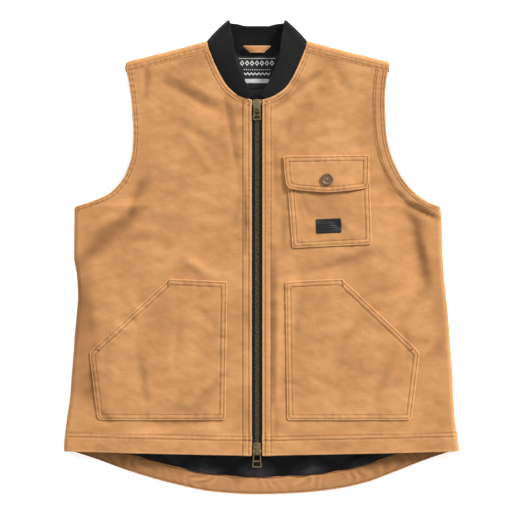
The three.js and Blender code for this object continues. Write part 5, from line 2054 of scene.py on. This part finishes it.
@dataclass
class Collar:
    """The rib-knit collar, one folded band round the neck."""

    garment: Garment
    thickness: float = 2.8 * MM
    rib: float = 2.4 * MM
    stand: float = 11 * MM
    fold_radius: float = 4.2 * MM
    peak: float = 0.157
    centre: float = 0.988
    rise: float = 2.4 * MM
    lean: float = 12 * MM
    seam_gap: float = 1.0 * MM
    dip: float = 1.2 * MM
    bow: float = 1.2 * MM
    ridge: float = 0.22 * MM
    rows: int = 16

    def stations(self) -> tuple[Array, Array]:
        """The seam and the free edge, from the wearer's left end of the collar to the back's middle."""
        g = self.garment
        seam, edge = [], []
        step = 2 * MM
        for station in STATIONS:
            y = station.seam * g.length
            slope = float(g.neck_half(np.array(y + step)) - g.neck_half(np.array(y - step))) / (2 * step)
            away = np.array([-1, slope]) / math.hypot(1, slope) * self.seam_gap
            x = float(g.neck_half(np.array(y)))
            z = float(g.top(np.array(x), np.array(y), fine=False)) - g.canvas / 2
            seam.append((x + away[0], y + away[1], z))
            edge.append((station.half * g.chest_half, station.y * g.length, z + station.stand * self.stand))
        corner = g.neck_corner()
        fold = float(g.fold_flat(Side.LEFT, np.array(corner)))
        inside_radius = g.turn_radius - self.rise
        for angle in np.linspace(math.pi, 0, 7):
            y = fold + inside_radius * math.sin(angle)
            x, z = float(g.neck_half(np.array(y))), g.turn_radius - inside_radius * math.cos(angle)
            seam.append((x - g.gap, y + g.gap, z))
            edge.append((
                self.peak * g.chest_half - 2 * MM * abs(math.cos(angle)),
                g.length - self.fold_radius + self.fold_radius * math.sin(angle),
                2 * g.turn_radius - self.fold_radius * math.cos(angle),
            ))
        for share in (0.7, 0.35, 0.0):
            x = share * corner
            seam.append((x, float(g.back_top(Side.LEFT, np.array(x))) + self.seam_gap, self.rise))
            y = self.centre + (1 - self.centre) * share**2
            dip = self.dip if share else 0
            edge.append((share * self.peak * g.chest_half, y * g.length - dip, self.lean))
        return np.array(seam), np.array(edge)

    def surface(self) -> tuple[Array, Array, Array]:
        """The collar's middle surface: points, normals and UV, columns along the band."""
        seam, edge = self.stations()
        mirror = np.array([-1, 1, 1])
        seam, edge = (np.vstack([side, side[-2::-1] * mirror]) for side in (seam, edge))
        middle = (seam + edge) / 2
        passed = np.concatenate([[0], np.cumsum(np.linalg.norm(np.diff(middle, axis=0), axis=1))])
        even = np.linspace(0, passed[-1], round(passed[-1] / self.rib * 6))
        seam, edge = (
            np.stack([smooth_through(even, passed, line[:, k]) for k in range(3)], 1) for line in (seam, edge)
        )
        window = np.ones(9) / 9
        for line in (seam, edge):
            padded = np.pad(line, ((4, 4), (0, 0)), mode="edge")
            line[:] = np.stack([np.convolve(padded[:, k], window, mode="valid") for k in range(3)], 1)
        share = np.linspace(0, 1, self.rows)[:, None, None]
        bow = self.bow * np.sin(math.pi * share)
        points = seam + (edge - seam) * share
        across = np.gradient(points, axis=1)
        up = np.gradient(points, axis=0)
        normals = np.cross(across, up)
        normals /= np.maximum(np.linalg.norm(normals, axis=-1, keepdims=True), 1e-9)
        points = points + normals * bow
        width = float(np.linalg.norm(edge - seam, axis=1).mean())
        u = np.broadcast_to(even, points.shape[:2])
        v = np.broadcast_to(share[..., 0] * width, points.shape[:2])
        return points, normals, np.stack([u, v], axis=-1)

    def build(self, finishes: Finishes) -> None:
        """Makes the collar.

        Args:
            finishes: Every finish.
        """
        g = self.garment
        points, normals, uv = self.surface()
        ridge = self.ridge * np.cos(math.tau * uv[..., 0] / self.rib)
        edge_in = np.minimum(uv[..., 1] - uv[..., 1].min(), uv[..., 1].max() - uv[..., 1])
        ridge = ridge * ease(edge_in, 0, 3 * MM)
        placed = g.place(points[..., 0], points[..., 1], points[..., 2])
        cloth = Cloth(
            placed.reshape(-1, 3), normals.reshape(-1, 3), grid_faces(*points.shape[:2]), uv=uv.reshape(-1, 2)
        )
        half = self.thickness / 2
        mesh = cloth.mesh("collar", half + ridge.ravel(), -half - ridge.ravel(), bulge=1.0)
        piece = add_piece("collar", mesh, finishes.rib, ["rib_collar"])


@dataclass(frozen=True)
class Patch:
    """A piece of canvas sewn on a front: its outline in shares of a box, and its layer.

    Args:
        name: The piece's name.
        node: The CAD node it stands for.
        side: Which front it is on.
        outline: Corners as shares of the box, from its lower inner corner.
        inset: Distance from the zip to the box.
        base: Height of the box's foot.
        width: The box's width.
        depth: The box's height.
        layer: Distance of the underside above the front.
        band: Its turned edge.
    """

    name: str
    node: str
    side: Side
    outline: tuple[tuple[float, float], ...]
    inset: float
    base: float
    width: float
    depth: float
    layer: float
    band: Band
    corner: float = 2.5 * MM
    lift: float = 0.0

    def corners(self) -> Array:
        """The outline, anticlockwise from above, measured from zip and tail."""
        u, v = np.array(self.outline).T
        points = np.stack([self.side.value * (self.inset + u * self.width), self.base + v * self.depth], 1)
        area = np.sum(points[:, 0] * np.roll(points[:, 1], -1) - np.roll(points[:, 0], -1) * points[:, 1])
        return points if area > 0 else points[::-1]


POCKET = (
    (0.025, 0), (0.014, 0.01), (0, 0.98), (0.42, 1), (0.967, 0.51), (1, 0.468), (0.943, 0.02), (0.925, 0),
)
CHEST = ((0.09, 0), (0.078, 0.015), (0, 1), (0.97, 1), (1, 0.06), (0.985, 0.042))
FLAP = (
    (0, 1), (0.015, 0.5), (0.035, 0.2), (0.07, 0.1), (0.2, 0.05), (0.35, 0.02), (0.5, 0),
    (0.65, 0.02), (0.8, 0.06), (0.93, 0.1), (0.975, 0.13), (0.99, 0.3), (1, 1.04),
)


@dataclass
class Pockets:
    """The hand pockets, the chest pocket and its flap."""

    garment: Garment
    step: float = 3.2 * MM
    fine: float = 1.1 * MM
    pocket_height: float = 0.225
    pocket_drop: float = 0.340
    chest_width: float = 0.137
    chest_height: float = 0.146
    chest_centre: float = 0.1145
    chest_drop: float = 0.065
    flap_depth: float = 0.057
    flap_shift: float = -3.5 * MM
    flap_corner: float = 1 * MM
    flap_lift: float = 2.2 * MM
    pocket_shares: tuple[tuple[Side, float, float], ...] = (
        (Side.RIGHT, 0.163, 0.748), (Side.LEFT, 0.155, 0.728),
    )
    turned_in: float = 1.04
    button_rise: float = 0.020
    edge: Band = Band(0.0092, 0.35 * MM, (0.0022, 0.0084), pucker=0.13 * MM, pucker_length=15 * MM)
    flap_edge: Band = Band(0.0092, 0.3 * MM, (0.0022, 0.0084), pucker=0.15 * MM, pucker_length=13 * MM)
    opening_lift: float = 1.1 * MM
    opening_reach: float = 12 * MM
    flap_wave: float = 47 * MM
    button_hold: float = 14 * MM
    edge_strip: float = 11 * MM
    outline_step: float = 6 * MM

    def patches(self) -> list[Patch]:
        """Every patch of canvas, lowest layer first."""
        g = self.garment
        armhole = g.length * OUTLINE[ARMHOLE_ROW].y
        base = armhole - self.pocket_drop
        chest_base, chest_in = armhole - self.chest_drop, self.chest_centre - self.chest_width / 2
        flap_low = chest_base + self.chest_height - self.flap_depth
        half, low = g.chest_half, g.gap
        high = 2 * g.gap + g.canvas
        hand_pockets = [
            Patch(
                f"hand_pocket_canvas_{side.word}", f"hand_pocket_{side.word}", side, POCKET,
                inset * half, base, width * half, self.pocket_height, low, self.edge,
            )
            for side, inset, width in self.pocket_shares
        ]
        chest = Patch(
            "chest_pocket_canvas", "chest_pocket", Side.LEFT, CHEST,
            chest_in, chest_base, self.chest_width, self.chest_height, low, self.edge,
        )
        flap = Patch(
            "chest_flap_canvas", "chest_flap", Side.LEFT, FLAP, chest_in + self.flap_shift, flap_low,
            self.chest_width, self.flap_depth, high, self.flap_edge, self.flap_corner, self.flap_lift,
        )
        return [*hand_pockets, chest, flap]

    def height(self, patch: Patch, x: Array, y: Array) -> Array:
        """Height of a patch's outer face over the table.

        Args:
            patch: The patch of canvas.
            x: Distances from the zip.
            y: Distances from the tail.

        Returns:
            The height at each point.
        """
        border = dense(rounded(patch.corners(), patch.corner), self.outline_step, closed=True)
        distance, along = near_path(x, y, np.vstack([border, border[:1]]))
        return self.floor(patch, x, y) + self.garment.canvas + patch.band.relief(distance, along)

    def floor(self, patch: Patch, x: Array, y: Array) -> Array:
        """Height of a patch's underside, which a flap lifts towards its lower edge.

        Args:
            patch: The patch of canvas.
            x: Distances from the zip.
            y: Distances from the tail.

        Returns:
            The height at each point.
        """
        under = self.garment.top(x, y) + patch.layer
        if patch.outline is POCKET:
            distance, share = near_line(x, y, *self.opening(patch))
            gape = np.sin(math.pi * share) * np.exp(-((distance / self.opening_reach) ** 2))
            return under + self.opening_lift * gape * (1 + 0.4 * np.sin(share * 17))
        lifted = patch.lift * (1 - ease(y, patch.base, patch.base + 0.6 * patch.depth))
        lifted = lifted * (1 + 0.35 * np.sin((x - patch.inset) * math.tau / self.flap_wave))
        held = np.hypot(x - self.button_x, y - patch.base - self.button_rise) / self.button_hold
        return under + lifted * (1 - 0.8 * np.exp(-(held**2)))

    def opening(self, patch: Patch) -> list[Array]:
        """The two ends of a hand pocket's slanted opening.

        Args:
            patch: The patch of canvas.

        Returns:
            The two ends, x and y.
        """
        return [
            np.array((patch.side.value * (patch.inset + u * patch.width), patch.base + v * patch.depth))
            for u, v in (POCKET[3], POCKET[4])
        ]

    @property
    def button_x(self) -> float:
        """Distance of the button's centre from the zip."""
        return self.chest_centre + self.flap_shift + 1 * MM

    def stitch_lines(self, patch: Patch) -> list[Array]:
        """The lines of stitches round a patch, in the frame.

        Args:
            patch: The patch of canvas.

        Returns:
            Each line's points.
        """
        lines = []
        for distance in patch.band.stitches:
            path = rounded(shrunk(patch.corners(), distance), 1.5 * MM)
            path = dense(path, 3 * MM, closed=True)
            path = np.vstack([path, path[:1]])
            z = self.height(patch, path[:, 0], path[:, 1]) + 0.16 * MM
            lines.append(self.garment.place(path[:, 0], path[:, 1], z))
        return lines

    def tack_lines(self, patch: Patch) -> list[Array]:
        """Short lines across a hand pocket's stitches, at the ends of its opening.

        Args:
            patch: The patch of canvas.

        Returns:
            Each line's points.
        """
        lines = []
        if patch.outline is not POCKET:
            return lines
        centre = patch.corners().mean(0)
        for corner in self.opening(patch):
            inward = (centre - corner) / np.linalg.norm(centre - corner)
            path = corner + inward * np.linspace(1.5 * MM, 11 * MM, 6)[:, None]
            z = self.height(patch, path[:, 0], path[:, 1]) + 0.15 * MM
            lines.append(self.garment.place(path[:, 0], path[:, 1], z))
        return lines

    def build(self, finishes: Finishes) -> None:
        """Makes every patch.

        Args:
            finishes: Every finish.
        """
        g = self.garment
        for patch in self.patches():
            outline = rounded(patch.corners(), patch.corner)
            spots, faces = cut_cloth(outline, self.step, self.fine, self.edge_strip)
            x, y = spots.T
            low = self.floor(patch, x, y)
            border = dense(outline, self.outline_step, closed=True)
            distance, _ = near_path(x, y, np.vstack([border, border[:1]]))
            # The patch's tone: wear at its rim, painted highlight on ridges, and painted shade in valleys,
            # stitch grooves and the broad shaded zones.
            cloth = facing_up(g.place(x, y, low), faces, g.rubbed(x, y) + patch.band.tone(distance))
            mesh = cloth.mesh(patch.name, self.height(patch, x, y) - low, 0)
            piece = add_piece(patch.name, mesh, finishes.canvas, [patch.node])
            area = sum(polygon.area for polygon in mesh.polygons) / 2
            flat = (patch.width, patch.depth * self.turned_in)
            area = round(min(area, flat[0] * flat[1]), 4)


@dataclass
class Sewing:
    """The canvas's topstitching and its bar tacks."""

    rows: RowsTree
    length: float = 2.5 * MM
    pitch: float = 3.1 * MM
    width: float = 0.75 * MM
    tack_length: float = 3.4 * MM
    tack_pitch: float = 0.55 * MM

    def build(self, fronts: Fronts, back: Back, pockets: Pockets, finishes: Finishes) -> None:
        """Makes every stitch.

        Args:
            fronts: The fronts.
            back: The back.
            pockets: The pockets.
            finishes: Every finish.
        """
        one = stitch(self.length, self.width)
        lines = [line for side in Side for line in (*fronts.stitch_lines(side), *back.stitch_lines(side))]
        mesh = self.rows.mesh("edge_stitches", one, lines, self.pitch, finishes.thread, jitter=0.12)
        add_piece("edge_stitches", mesh, finishes.thread)
        lines = [line for patch in pockets.patches() for line in pockets.stitch_lines(patch)]
        mesh = self.rows.mesh("pocket_stitches", one, lines, self.pitch, finishes.thread, jitter=0.12)
        add_piece("pocket_stitches", mesh, finishes.thread)
        lines = [line for patch in pockets.patches() for line in pockets.tack_lines(patch)]
        tack = stitch(self.tack_length, self.width * 0.9)
        mesh = self.rows.mesh("bar_tacks", tack, lines, self.tack_pitch, finishes.thread, math.pi / 2, 0.1)
        add_piece("bar_tacks", mesh, finishes.thread)


@dataclass
class Zip:
    """The zip: two tapes, the closed teeth, and two sliders with hinged pulls."""

    garment: Garment
    rows: RowsTree
    tape: float = 0.9 * MM
    tape_end: float = 0.0154
    chain_half: float = 3.1 * MM
    pitch: float = 3.2 * MM
    bottom_in: float = 0.0105
    top_in: float = 0.0085

    @property
    def ends(self) -> tuple[float, float]:
        """Where the zip's opening begins and ends."""
        g = self.garment
        return g.length * OUTLINE[HEM_ROW].inner, g.length * OUTLINE[NECK_ROW].inner

    def height(self, y: Array) -> Array:
        """Height of the middle of the teeth."""
        g = self.garment
        return g.top(np.full(np.shape(y), g.tape_shown), y, fine=False) - g.canvas - g.gap - self.tape / 2

    def tooth(self) -> Mesh:
        """One tooth, which grips the tape on its -Y side and meets its neighbours on its +Y side."""
        sections = (
            (-3.1, 0.55, 0.8), (-2.8, 0.8, 1.1), (-1.7, 0.8, 1.15),
            (-1.2, 0.5, 0.7), (0.3, 0.55, 0.55), (0.8, 0.3, 0.4),
        )
        verts, faces = [], []
        for across, half, rise in sections:
            ring = ((-half, -rise), (half, -rise), (half, rise), (-half, rise))
            verts += [(x * MM, across * MM, z * MM) for x, z in ring]
        for i in range(len(sections) - 1):
            for k in range(4):
                a, b = 4 * i + k, 4 * i + (k + 1) % 4
                faces.append((a, b, b + 4, a + 4))
        last = 4 * (len(sections) - 1)
        faces += [(3, 2, 1, 0), (last, last + 1, last + 2, last + 3)]
        mesh = bpy.data.meshes.new("tooth")
        mesh.from_pydata(verts, [], faces)
        return bevelled(faced_out(mesh), 0.2 * MM, 1, 50)

    def build(self, finishes: Finishes) -> None:
        """Makes the whole zip.

        Args:
            finishes: Every finish.
        """
        g = self.garment
        low, high = self.ends
        y = np.arange(low, high, 4 * MM)
        across = np.array([1.9, 2.6, 3.5, 4.6, 7.6, 9, 12, 15.4]) * MM
        cord = np.array([-0.1, 0.15, 0.3, 0, 0, 0, 0, 0]) * MM
        for side in Side:
            x = np.broadcast_to(side.value * across, (len(y), len(across)))
            level = np.broadcast_to(y[:, None], x.shape)
            z = g.top(side.value * np.maximum(np.abs(x), g.tape_shown), level, fine=False) - g.canvas - g.gap
            mesh = facing_up(g.place(x, level, z), grid_faces(*x.shape)).mesh(
                f"tape_{side.word}", np.broadcast_to(cord, x.shape).ravel(), -self.tape
            )
            piece = add_piece(f"tape_{side.word}", mesh, finishes.tape, [f"zip_tape_{side.word}"])
        start, end = low + self.bottom_in, high - self.top_in
        y = np.arange(start, end, 2 * MM)
        up = g.place(np.zeros_like(y), y, self.height(y))
        down = g.place(np.zeros_like(y), y, self.height(y))[::-1] + np.array([0, self.pitch / 2, 0])
        mesh = self.rows.mesh("zip_teeth", self.tooth(), [up, down], self.pitch, finishes.brass)
        add_piece("zip_teeth", mesh, finishes.brass, ["zip_chain"])
        for end_name in ("top", "bottom"):
            slider, pull = f"slider_{end_name}", f"pull_{end_name}"
            self.from_solid(f"zip_{slider}", slider, finishes, BODY, 0.45 * MM)
            self.from_solid(f"zip_{pull}", pull, finishes, f"{end_name}_pull", 0.5 * MM)

    def from_solid(self, node: str, name: str, finishes: Finishes, body: str, width: float) -> None:
        """Makes a metal piece from a copy of its solid, with rounded edges.

        Args:
            node: The CAD node.
            name: The piece's name.
            finishes: Every finish.
            body: The body it rides on.
            width: Width of the rounding.
        """
        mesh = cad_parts[node].data.copy()
        mesh.materials.clear()
        add_piece(name, bevelled(mesh, width, 3), finishes.brass, [node], body)


@dataclass
class Button:
    """The horn button with its thread."""

    pockets: Pockets
    radius: float = 9.7 * MM
    thick: float = 3.2 * MM
    hole: float = 1.1 * MM
    apart: float = 4.4 * MM
    sides: int = 56

    def profile(self) -> list[tuple[float, float]]:
        """Radius and height of the turned shape, from the middle of its foot to the middle of its face."""
        shares = (
            (0, 0), (0.5, 0), (0.86, 0.1), (0.96, 0.28), (1, 0.5), (0.985, 0.75), (0.94, 0.94),
            (0.88, 1), (0.81, 0.97), (0.74, 0.82), (0.66, 0.7), (0.4, 0.64), (0, 0.62),
        )
        return [(self.radius * out, self.thick * up) for out, up in shares]

    def turned(self) -> Mesh:
        """The button's body, with its thread holes cut through."""
        profile = self.profile()
        verts, faces = [], []
        for radius, z in profile:
            ring = self.sides if radius > 0 else 1
            angles = [math.tau * k / ring for k in range(ring)]
            verts += [(radius * math.cos(a), radius * math.sin(a), z) for a in angles]
        first = [0]
        for radius, _ in profile:
            first.append(first[-1] + (self.sides if radius > 0 else 1))
        for i in range(len(profile) - 1):
            a, b = first[i], first[i + 1]
            for k in range(self.sides):
                after = (k + 1) % self.sides
                if profile[i][0] == 0:
                    faces.append((a, b + after, b + k))
                elif profile[i + 1][0] == 0:
                    faces.append((a + k, a + after, b))
                else:
                    faces.append((a + k, a + after, b + after, b + k))
        mesh = bpy.data.meshes.new("button")
        mesh.from_pydata(verts, [], faces)
        body = bpy.data.objects.new("button_body", faced_out(mesh, smooth=True))
        bpy.context.scene.collection.objects.link(body)
        cutters = []
        for way in (-1, 1):
            drill = bpy.data.meshes.new("drill")
            made = bmesh.new()
            bmesh.ops.create_cone(
                made, cap_ends=True, segments=16, radius1=self.hole, radius2=self.hole, depth=4 * self.thick
            )
            bmesh.ops.translate(made, verts=made.verts, vec=(0, way * self.apart / 2, 0))
            made.to_mesh(drill)
            made.free()
            cutter = bpy.data.objects.new("drill", drill)
            bpy.context.scene.collection.objects.link(cutter)
            cut = body.modifiers.new("hole", "BOOLEAN")
            cut.object = cutter
            cut.operation = "DIFFERENCE"
            cut.solver = "EXACT"
            cutters.append(cutter)
        shown = body.evaluated_get(bpy.context.evaluated_depsgraph_get())
        done = bpy.data.meshes.new_from_object(shown)
        for thing in (body, *cutters):
            bpy.data.objects.remove(thing)
        done.materials.clear()
        done.set_sharp_from_angle(angle=math.radians(40))
        return done

    def build(self, flap: Patch, finishes: Finishes) -> None:
        """Makes the button and its thread, on the flap.

        Args:
            flap: The flap it sits on.
            finishes: Every finish.
        """
        pockets = self.pockets
        x, y = pockets.button_x, flap.base + pockets.button_rise
        angle = np.linspace(0, math.tau, 17)
        foot = self.radius * 0.6
        ring = pockets.height(flap, x + foot * np.cos(angle), y + foot * np.sin(angle))
        place = pockets.garment.place(np.array(x), np.array(y), np.array(float(ring.max()) + 0.15 * MM))
        mesh = self.turned()
        moved(mesh, place)
        add_piece("horn_button", mesh, finishes.button, ["button"])
        made = bmesh.new()
        for k in range(4):
            side = (k - 1.5) * 0.5 * MM
            path = [(side, -self.apart / 2, -0.2 * self.thick), (side, -self.apart / 2, 0.6 * self.thick)]
            over = ((t, 0.8 * self.thick + 0.5 * MM * (1 - t * t)) for t in (-0.7, 0, 0.7))
            path += [(side, self.apart / 2 * t, z) for t, z in over]
            path += [(side, self.apart / 2, 0.6 * self.thick), (side, self.apart / 2, -0.2 * self.thick)]
            tube(made, np.array(path) + place, 0.28 * MM)
        thread = bpy.data.meshes.new("button_thread")
        made.to_mesh(thread)
        made.free()
        add_piece("button_thread", faced_out(thread, smooth=True), finishes.thread)


def moved(mesh: Mesh, by: Array) -> None:
    """Moves a mesh's points.

    Args:
        mesh: The mesh.
        by: The move along each axis.
    """
    points = np.empty(3 * len(mesh.vertices))
    mesh.vertices.foreach_get("co", points)
    mesh.vertices.foreach_set("co", (points.reshape(-1, 3) + by).ravel())
    mesh.update()


def tube(made: bmesh.types.BMesh, path: Array, radius: float, sides: int = 8) -> None:
    """Adds a closed round tube along a path that stays in a plane of constant x.

    Args:
        made: The mesh under construction.
        path: Points of the path.
        radius: The tube's radius.
        sides: Sides of its section.
    """
    run = np.gradient(path, axis=0)
    run /= np.linalg.norm(run, axis=1, keepdims=True)
    across = np.array([1.0, 0, 0])
    rings = []
    for point, along in zip(path, run):
        up = np.cross(across, along)
        angles = [math.tau * k / sides for k in range(sides)]
        ring = [point + radius * (math.cos(a) * across + math.sin(a) * up) for a in angles]
        rings.append([made.verts.new(spot) for spot in ring])
    for low, high in zip(rings[:-1], rings[1:]):
        for k in range(sides):
            made.faces.new((low[k], low[(k + 1) % sides], high[(k + 1) % sides], high[k]))
    made.faces.new(list(reversed(rings[0])))
    made.faces.new(rings[-1])


@dataclass
class Trims:
    """The small patch on the chest pocket, the neck label and the hanger loop."""

    garment: Garment
    pockets: Pockets
    linings: Linings
    patch_size: tuple[float, float] = (0.040, 0.0225)
    patch_thick: float = 1.2 * MM
    patch_rise: float = 0.035
    patch_tilt: float = 0.045
    frame_in: float = 1.9 * MM
    bars: tuple[tuple[float, float], ...] = ((0.0033, 0.0125), (0.0, 0.0085), (-0.0033, 0.0125))
    label_size: tuple[float, float] = (0.072, 0.051)
    label_drop: float = 0.014
    label_thick: float = 0.8 * MM
    loop_size: tuple[float, float] = (0.044, 0.010)
    loop_narrow: float = 0.5
    loop_arch: float = 2.4 * MM
    loop_tuck: float = 2 * MM
    loop_thick: float = 1.6 * MM
    loop_worn: float = 1.2 * MM
    label_smoothing: float = 6 * MM

    def build(self, chest: Patch, finishes: Finishes) -> None:
        """Makes the three trims.

        Args:
            chest: The chest pocket.
            finishes: Every finish.
        """
        self.patch(chest, finishes)
        self.label(finishes)
        self.loop(finishes)

    def patch(self, chest: Patch, finishes: Finishes) -> None:
        """Makes the black patch, bare but for a raised frame and three bars.

        Args:
            chest: The chest pocket.
            finishes: Every finish.
        """
        width, height = self.patch_size
        corners = np.array([(-0.5, -0.5), (0.5, -0.5), (0.5, 0.5), (-0.5, 0.5)]) * (width, height)
        outline = rounded(corners, 2 * MM, 6)
        flat, faces = cut_cloth(outline, 0.5 * MM, 0.5 * MM, 1 * MM)
        distance, _ = near_path(flat[:, 0], flat[:, 1], np.vstack([outline, outline[:1]]))
        c, s = math.cos(self.patch_tilt), math.sin(self.patch_tilt)
        x = self.pockets.chest_centre + flat[:, 0] * c - flat[:, 1] * s
        y = chest.base + self.patch_rise + flat[:, 0] * s + flat[:, 1] * c
        low = self.pockets.height(chest, x, y) + 0.1 * MM
        ridge = 0.45 * MM * np.exp(-(((distance - self.frame_in) / (0.45 * MM)) ** 2))
        for rise, half in self.bars:
            away = np.hypot(flat[:, 1] - rise, np.maximum(0, np.abs(flat[:, 0]) - half))
            ridge = ridge + 0.4 * MM * np.exp(-((away / (0.8 * MM)) ** 2))
        soft = 0.3 * MM * np.exp(-((distance / (0.5 * MM)) ** 2))
        cloth = facing_up(self.garment.place(x, y, low), faces)
        mesh = cloth.mesh("chest_patch", self.patch_thick + ridge - soft, 0, bulge=0.5)
        add_piece("chest_patch", mesh, finishes.patch, ["pocket_patch"])

    def label(self, finishes: Finishes) -> None:
        """Makes the neck label.

        Args:
            finishes: Every finish.
        """
        g = self.garment
        width, height = self.label_size
        middle = g.back_neck * g.length - self.label_drop - height / 2
        u, v = np.meshgrid(np.linspace(-0.5, 0.5, 61) * width, np.linspace(-0.5, 0.5, 45) * height)
        shifts = (-self.label_smoothing, 0, self.label_smoothing)
        nearby = [self.linings.inside(u + dx, v + middle + dy) for dx in shifts for dy in shifts]
        under = sum(nearby) / len(nearby)
        z = np.maximum(under, self.linings.inside(u, v + middle)) + 0.25 * MM
        cloth = facing_up(g.place(u, v + middle, z), grid_faces(*u.shape), uv=np.stack([u, v], -1))
        mesh = cloth.mesh("woven_label", self.label_thick, 0)
        piece = add_piece("woven_label", mesh, finishes.label, ["neck_label"])

    def loop(self, finishes: Finishes) -> None:
        """Makes the canvas hanger loop.

        Args:
            finishes: Every finish.
        """
        g = self.garment
        length, width = self.loop_size
        share, v = np.meshgrid(np.linspace(-0.5, 0.5, 45), np.linspace(0, 1, 9))
        x = share * length * (self.loop_narrow + (1 - self.loop_narrow) * v)
        y = g.back_neck * g.length + self.loop_tuck - width * (1 - v)
        base = float(self.linings.inside(x, y).max())
        z = base + self.loop_arch * (1 - (2 * share) ** 2) + 0.2 * MM
        edge = np.minimum(v, 1 - v) * width
        worn = np.exp(-((edge / self.loop_worn) ** 2))
        cloth = facing_up(g.place(x, y, z), grid_faces(*x.shape), worn)
        groove = 0.3 * MM * np.exp(-(((edge - 1.8 * MM) / (0.7 * MM)) ** 2))
        mesh = cloth.mesh("canvas_loop", (self.loop_thick - groove).ravel(), 0)
        piece = add_piece("canvas_loop", mesh, finishes.canvas, ["hanger_loop"])


# Stage


@dataclass(frozen=True)
class Stage:
    """The white table, the studio lights and the camera over the vest."""

    garment: Garment
    metres_per_pixel: float = 0.0016
    image: int = 524
    zip_pixel: float = 257.0
    tail_pixel: float = 495.5
    lens: float = 135.0
    focus_height: float = 0.020
    table_glow: float = 0.62
    sky: float = 0.42

    def camera(self) -> None:
        """Puts the camera straight above, so that the photograph's pixels fall where they were measured."""
        g = self.garment
        data = bpy.data.cameras.new("camera")
        data.lens = self.lens
        data.sensor_width = 36.0
        data.clip_end = 20
        width = self.image * self.metres_per_pixel
        distance = width * self.lens / data.sensor_width
        camera = bpy.data.objects.new("camera", data)
        middle = self.image / 2
        x = g.zip_x + (middle - self.zip_pixel) * self.metres_per_pixel
        y = g.tail_y + (self.tail_pixel - middle) * self.metres_per_pixel
        camera.location = (x, y, self.focus_height + distance)
        bpy.context.scene.collection.objects.link(camera)
        bpy.context.scene.camera = camera

    def sun(self, name: str, azimuth: float, height: float, spread: float, power: float) -> None:
        """Adds a large far light.

        Args:
            name: The light's name.
            azimuth: Where it stands, in degrees from +X towards +Y.
            height: Its height over the horizon in degrees.
            spread: How wide it looks in degrees, which softens its shadows.
            power: Its strength.
        """
        data = bpy.data.lights.new(name, "SUN")
        data.energy = power
        data.angle = math.radians(spread)
        lamp = bpy.data.objects.new(name, data)
        lamp.rotation_euler = (0, math.radians(90 - height), math.radians(azimuth))
        bpy.context.scene.collection.objects.link(lamp)

    def build(self) -> None:
        """Makes the table, lights and camera."""
        paint = Paint("table_white")
        table = bpy.data.meshes.new("table")
        reach = 6.0
        corners = [(-reach, -reach, 0), (reach, -reach, 0), (reach, reach, 0), (-reach, reach, 0)]
        table.from_pydata(corners, [], [(0, 1, 2, 3)])
        white = (0.9, 0.9, 0.9, 1)
        lit = {"Emission_Color": (1, 1, 1, 1), "Emission_Strength": self.table_glow}
        table.materials.append(paint.finish(Base_Color=white, Roughness=0.9, Specular_IOR_Level=0.1, **lit))
        floor = bpy.data.objects.new("table", table)
        floor.location.z = -0.0002
        bpy.context.scene.collection.objects.link(floor)
        bpy.context.scene.view_settings.view_transform = "Standard"
        world = bpy.data.worlds.new("studio")
        world.use_nodes = True
        world.node_tree.nodes["Background"].inputs["Color"].default_value = (1, 1, 1, 1)
        world.node_tree.nodes["Background"].inputs["Strength"].default_value = self.sky
        bpy.context.scene.world = world
        self.sun("key", 42, 27, 16, 4.3)
        self.sun("top", 135, 35, 30, 0.7)
        self.camera()


def main() -> None:
    """Builds the vest piece by piece."""
    logging.basicConfig(level=logging.INFO, format="%(name)s %(message)s", stream=sys.stdout)
    zip_low, zip_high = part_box("zip_chain")
    tail_low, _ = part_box("back_panel")
    garment = Garment(zip_x=(zip_low[0] + zip_high[0]) / 2, tail_y=tail_low[1])
    Stage(garment).build()
    finishes = Finishes.make()
    fronts = Fronts(garment)
    back = Back(garment)
    fronts.build(finishes)
    back.build(finishes)
    linings = Linings(garment, back)
    linings.build(finishes)
    Collar(garment).build(finishes)
    pockets = Pockets(garment)
    pockets.build(finishes)
    rows = RowsTree()
    Zip(garment, rows).build(finishes)
    *_, chest, flap = pockets.patches()
    Button(pockets).build(flap, finishes)
    Trims(garment, pockets, linings).build(chest, finishes)
    Sewing(rows).build(fronts, back, pockets, finishes)
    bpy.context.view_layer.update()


if __name__ == "__main__":
    main()
